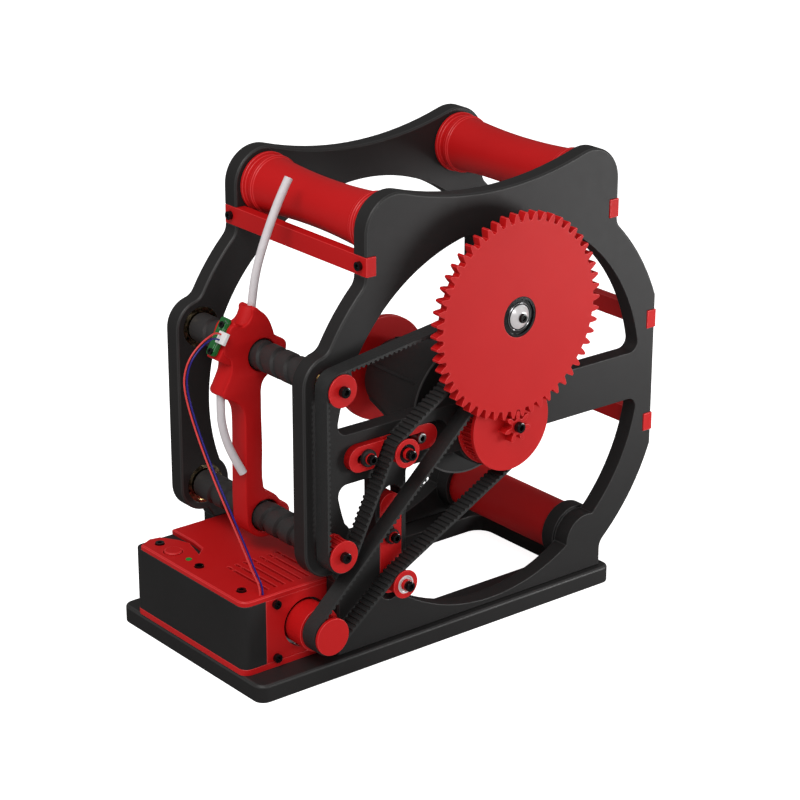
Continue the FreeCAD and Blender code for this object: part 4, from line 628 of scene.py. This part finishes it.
# Middle of the large gear: a sealed bearing, a bright conical washer, a small screw, and an axle with a nut
gearCentre = {
    "bearing": [
        (4.1, 73.6), (11.0, 73.6), (11.0, 80.0), (10.8, 80.3), (9.5, 80.3), (9.3, 79.6), (7.3, 79.6),
        (7.1, 80.1), (6.0, 80.1), (5.8, 79.8), (4.1, 79.8), (4.1, 73.6),
    ],
    "washer": [(0, 79.7), (6.4, 79.7), (6.6, 79.9), (6.4, 80.2), (3.2, 82.2), (2.9, 82.3), (0, 82.3)],
    "rim": [(7.2, 79.5), (7.7, 79.5), (7.7, 80.0), (7.45, 80.2), (7.2, 80.0), (7.2, 79.5)],
    "head": (2.6, 1.25), "seat": 82.3, "axle": 3.9, "axleFront": 79.8,
    "nut": 6.5, "nutClear": 0.6, "nutFront": 51.0,
}


def makeGearCentre():
    facts = gearCentre
    place = axisOf("gear_spin")
    bearing = setIn(turnedShape(facts["bearing"], sides["ring"]), place)
    assemble("gear_bearing.sealed", [(bearing, "sealed_ring")], "gear_bearing")
    rear = rearOf("gear_axle_bolt")
    parts = [
        (turnedShape(facts["washer"], sides["cone"]), "washer_white"),
        (turnedShape(facts["rim"], sides["ring"]), "bright_steel"),
        (screwHead(*facts["head"], facts["seat"]), "black_screw"),
        (shank(facts["axle"], rear, facts["axleFront"]), "bright_steel"),
        (nutShape(facts["nut"], rear + facts["nutClear"], facts["nutFront"]), "bright_steel"),
    ]
    parts = [(setIn(work, place), finish) for work, finish in parts]
    assemble("gear_axle_bolt.washer", parts, "gear_axle_bolt")


makeGearCentre()
print("gear centre built")

# Level-wind guide: one moulded plate round both rods, with the filament holder across its top
guide = {
    "near": -5.0, "thick": 13.0, "rounding": 0.8, "curveSteps": 5, "edgeSteps": 2,
    "outline": [
        (-78.6, 188.6), (-75.0, 186.4), (-72.2, 183.9), (-69.8, 180.3), (-68.0, 175.9), (-66.6, 172.0),
        (-65.0, 170.4), (-61.4, 168.6), (-59.6, 166.6), (-59.8, 162.6), (-61.6, 158.2), (-66.0, 154.6),
        (-71.9, 151.6), (-74.4, 149.2), (-75.7, 146.1), (-76.1, 138.6), (-75.9, 113.6), (-75.8, 90.7),
        (-74.7, 87.4), (-70.7, 84.6), (-67.3, 81.8), (-64.2, 77.9), (-61.2, 75.9), (-59.4, 73.5),
        (-59.4, 69.8), (-62.0, 65.8), (-66.6, 62.9), (-72.6, 61.3), (-77.6, 62.0), (-82.2, 64.9),
        (-84.8, 69.8), (-85.5, 76.4), (-85.5, 95.8), (-85.2, 130.8), (-85.8, 134.2), (-88.4, 138.9),
        (-93.4, 142.7), (-98.2, 145.8), (-96.7, 149.6), (-94.6, 153.5), (-93.0, 157.5), (-92.8, 162.2),
        (-93.8, 165.4), (-96.4, 167.6), (-97.4, 170.2), (-96.0, 174.4), (-94.4, 178.0), (-92.6, 181.2),
        (-90.4, 181.9), (-87.4, 180.1), (-83.9, 180.6), (-80.8, 183.0), (-79.3, 185.7),
    ],
    "rods": ("upper_rod_spin", "lower_rod_spin"), "bore": 9.5,
    "holder": {
        "top": (-76.4, 1.3, 187.9), "lean": (-20.4, 0.0, -43.4),
        "profile": [
            (0, 0), (4.8, 0), (5.6, 0.4), (5.9, 1.2), (5.9, 47.0), (5.6, 47.8), (4.8, 48.2), (0, 48.2),
        ],
    },
    "block": {"place": (-91.4, 1.0, 172.0), "size": (11.0, 21.6, 11.0), "rounding": 1.0},
}
# the way that the sensor board faces
sensorOut = (-0.8599, 0.0, 0.5105)


def flatPlate(name, outline, holes, thick, rounding):
    curve = bpy.data.curves.new(name, "CURVE")
    curve.dimensions = "2D"
    curve.fill_mode = "BOTH"
    curve.resolution_u = guide["curveSteps"]
    for points in [outline] + holes:
        spline = curve.splines.new("BEZIER")
        spline.bezier_points.add(len(points) - 1)
        for corner, (x, z) in zip(spline.bezier_points, points):
            corner.co = (x, z, 0)
            corner.handle_left_type = "AUTO"
            corner.handle_right_type = "AUTO"
        spline.use_cyclic_u = True
    curve.extrude = thick / 2 - rounding
    curve.bevel_depth = rounding
    curve.bevel_resolution = guide["edgeSteps"]
    shell = bpy.data.objects.new(name, curve)
    bpy.context.scene.collection.objects.link(shell)
    data = bpy.data.meshes.new_from_object(shell.evaluated_get(bpy.context.evaluated_depsgraph_get()))
    bpy.data.objects.remove(shell)
    work = bmesh.new()
    work.from_mesh(data)
    bpy.data.meshes.remove(data)
    bmesh.ops.remove_doubles(work, verts=work.verts, dist=weld["plate"])
    bmesh.ops.recalc_face_normals(work, faces=work.faces)
    return work


def circlePoints(x, z, radius, count=16):
    return [(x + radius * math.cos(math.tau * k / count), z + radius * math.sin(math.tau * k / count))
            for k in range(count)]


def makeGuide():
    bores = [axisOf(joint) for joint in guide["rods"]]
    holes = [circlePoints(x, z, guide["bore"]) for x, y, z in bores]
    plate = flatPlate("guidePlate", guide["outline"], holes, guide["thick"], guide["rounding"])
    middle = guide["near"] + guide["thick"] / 2
    holder = guide["holder"]
    block = guide["block"]
    parts = [
        (setIn(plate, (0.0, middle, 0.0)), "red_plastic"),
        (setIn(turnedShape(holder["profile"], sides["cone"]), holder["top"], holder["lean"]), "red_plastic"),
        (setIn(blockShape(block["size"], block["rounding"]), block["place"], sensorOut), "red_plastic"),
    ]
    assemble("level_wind_guide.moulded", parts, "level_wind_guide")


makeGuide()
print("guide moulded")

# Sensor board with its traces and solder
sensor = {
    "middle": (-96.96, 1.3, 176.33), "size": (7.4, 21.0, 1.4), "rounding": 1.8,
    # across, along, length and width of each trace, and the solder points, from the board's middle
    "traces": ((1.6, 5.2, 4.6, 0.35), (-0.6, 6.4, 3.0, 0.35), (1.9, -5.8, 4.4, 0.35),
               (0.4, -6.2, 3.4, 0.35), (2.9, 0.4, 7.0, 0.35)),
    "traceThick": 0.12, "traceEdge": 0.04,
    "solder": ((1.0, 8.6), (-1.6, 4.2), (2.7, 4.4), (2.2, -4.0), (-0.6, -8.6), (1.2, -8.0), (2.6, 8.0)),
    "drop": [(0, 0), (0.5, 0), (0.45, 0.18), (0.2, 0.3), (0, 0.32)],
}


def makeSensorBoard():
    top = sensor["size"][2] / 2
    edge = sensor["traceEdge"]
    parts = [(blockShape(sensor["size"], sensor["rounding"], True), "circuit_green")]
    for across, along, length, width in sensor["traces"]:
        trace = blockShape((width, length, sensor["traceThick"]), edge)
        parts.append((moved(trace, (across, along, top + edge)), "trace_green"))
    for across, along in sensor["solder"]:
        drop = turnedShape(sensor["drop"], sides["drop"])
        parts.append((moved(drop, (across, along, top)), "bright_steel"))
    parts = [(setIn(work, sensor["middle"], sensorOut), finish) for work, finish in parts]
    assemble("sensor_board.circuit", parts, "sensor_board")


makeSensorBoard()
print("sensor board built")

for node in ("lead_belt", "drive_belt"):
    piece = mergedCopy(node + ".rubber", node)
    piece.data.materials.clear()
    piece.data.materials.append(finishes[slotOf[node]])
    keep(piece, node)

# Filament tubes and sensor wires: the route points are those of the drawing, the length is in metres
cordSteps = {"along": 10, "round": 6}
tubes = {
    "upper_filament_tube": {
        "radius": 2.3, "length": 0.0719,
        "points": [
            (-76.7, 1.0, 186.0), (-75.2, 1.0, 197.0), (-72.7, 1.0, 208.1), (-68.4, 1.0, 219.7),
            (-62.5, 1.0, 232.8), (-56.7, 1.0, 244.1), (-51.4, 1.0, 252.6),
        ],
    },
    "lower_filament_tube": {
        "radius": 2.3, "length": 0.0475,
        "points": [
            (-96.8, 1.0, 145.6), (-97.4, 0.8, 134.2), (-96.6, 0.3, 125.9), (-94.1, -0.7, 115.9),
            (-90.1, -2.4, 106.2), (-87.2, -3.8, 100.2),
        ],
    },
    "red_sensor_wire": {
        "radius": 0.5, "length": 0.157,
        "points": [
            (-98.5, -3.0, 179.1), (-101.1, -3.0, 180.6), (-105.5, -4.5, 180.6), (-113.0, -5.0, 177.4),
            (-120.0, -5.0, 170.9), (-123.2, -5.0, 162.5), (-123.7, -6.0, 154.8), (-123.2, -9.0, 145.2),
            (-122.7, -14.0, 134.6), (-122.0, -20.3, 122.8), (-121.6, -30.3, 108.5), (-120.2, -39.0, 94.6),
            (-115.5, -43.0, 78.2), (-111.6, -46.0, 64.0), (-108.9, -47.5, 57.0), (-108.9, -47.5, 52.0),
        ],
    },
    "blue_sensor_wire": {
        "radius": 0.5, "length": 0.157,
        "points": [
            (-100.0, -3.4, 176.6), (-102.6, -3.4, 178.1), (-106.6, -4.8, 178.4), (-112.6, -5.4, 175.8),
            (-118.9, -5.5, 169.9), (-121.9, -5.6, 162.2), (-122.4, -6.6, 154.9), (-121.9, -9.6, 145.4),
            (-121.4, -14.6, 134.9), (-120.7, -20.9, 123.1), (-120.2, -30.8, 109.0), (-118.8, -39.6, 95.1),
            (-114.1, -43.6, 78.5), (-110.2, -46.6, 64.1), (-107.5, -48.0, 57.0), (-107.5, -48.0, 52.0),
        ],
    },
}


def smoothCord(name, points, radius, finish):
    curve = bpy.data.curves.new(name, "CURVE")
    curve.dimensions = "3D"
    spline = curve.splines.new("NURBS")
    spline.points.add(len(points) - 1)
    for point, where in zip(spline.points, points):
        point.co = (*at(*where), 1.0)
    spline.order_u = 3
    spline.use_endpoint_u = True
    spline.resolution_u = cordSteps["along"]
    curve.bevel_depth = mm(radius)
    curve.bevel_resolution = cordSteps["round"]
    curve.use_fill_caps = True
    curve.materials.append(finish)
    return bpy.data.objects.new(name, curve)


for node, facts in tubes.items():
    cord = smoothCord(node + ".cord", facts["points"], facts["radius"], finishes[slotOf[node]])
    keep(cord, node)
    at(*facts["points"][0])
    mm(2 * facts["radius"])
print("tubes and wires laid")

# Studio: a white floor that takes the shadow, a white sky, and three lamps that face the machine's middle.
# The sky lights with its ambient strength. The machine mirrors a darker floor and sky than are seen.
studio = {
    "floor": 6.0, "floorGlow": 0.9, "floorWhite": 0.9, "floorMirrored": 0.15, "ambient": 0.39,
    "floorRoughness": 0.9, "mirroredSky": 0.16, "aim": (30, 0, 110),
    "lamps": [
        # place (mm), size (m), power (W), colour
        {"place": (-800, -350, 1300), "size": 0.7, "power": 10.5, "colour": (1.0, 0.985, 0.97)},
        {"place": (-500, -1100, 1000), "size": 0.6, "power": 3.0, "colour": (1.0, 1.0, 1.0)},
        {"place": (420, -420, 120), "size": 0.18, "power": 1.35, "colour": (1.0, 1.0, 1.0)},
    ],
}


def makeFloor():
    floorMesh = bpy.data.meshes.new("floor")
    work = bmesh.new()
    bmesh.ops.create_grid(work, x_segments=1, y_segments=1, size=studio["floor"])
    work.to_mesh(floorMesh)
    work.free()
    floor = bpy.data.objects.new("floor", floorMesh)
    bpy.context.scene.collection.objects.link(floor)
    paper = Finish("studioFloor", **{"Roughness": studio["floorRoughness"], "Specular IOR Level": 0.0,
                                     "Emission Color": (1, 1, 1, 1)})
    seen = paper.node("ShaderNodeLightPath", output="Is Camera Ray")
    mirrored = paper.node("ShaderNodeLightPath", output="Is Glossy Ray")
    glow = seen * studio["floorGlow"]
    paper.tree.links.new(glow.socket, paper.shader.inputs["Emission Strength"])
    paper.feed(Base=studio["floorWhite"] - mirrored * (studio["floorWhite"] - studio["floorMirrored"]))
    floorMesh.materials.append(paper.material)


def makeSky():
    world = bpy.data.worlds.new("studioWorld")
    world.use_nodes = True
    tree = world.node_tree
    sky = tree.nodes["Background"]
    sky.inputs["Color"].default_value = (1, 1, 1, 1)
    path = tree.nodes.new("ShaderNodeLightPath")
    seen = tree.nodes.new("ShaderNodeMapRange")
    tree.links.new(path.outputs["Is Camera Ray"], seen.inputs["Value"])
    mirrored = tree.nodes.new("ShaderNodeMapRange")
    tree.links.new(path.outputs["Is Glossy Ray"], mirrored.inputs["Value"])
    mirrored.inputs["To Min"].default_value = studio["ambient"]
    mirrored.inputs["To Max"].default_value = studio["mirroredSky"]
    tree.links.new(mirrored.outputs[0], seen.inputs["To Min"])
    tree.links.new(seen.outputs[0], sky.inputs["Strength"])
    bpy.context.scene.world = world


def makeLamps():
    for number, facts in enumerate(studio["lamps"]):
        data = bpy.data.lights.new("lamp%d" % number, "AREA")
        data.size = facts["size"]
        data.energy = facts["power"]
        data.color = facts["colour"]
        lamp = bpy.data.objects.new("lamp%d" % number, data)
        lamp.location = at(*facts["place"])
        lamp.rotation_euler = (at(*studio["aim"]) - lamp.location).to_track_quat("-Z", "Y").to_euler()
        bpy.context.scene.collection.objects.link(lamp)


makeFloor()
makeSky()
makeLamps()
bpy.context.scene.view_settings.view_transform = "Standard"
print("studio lit")
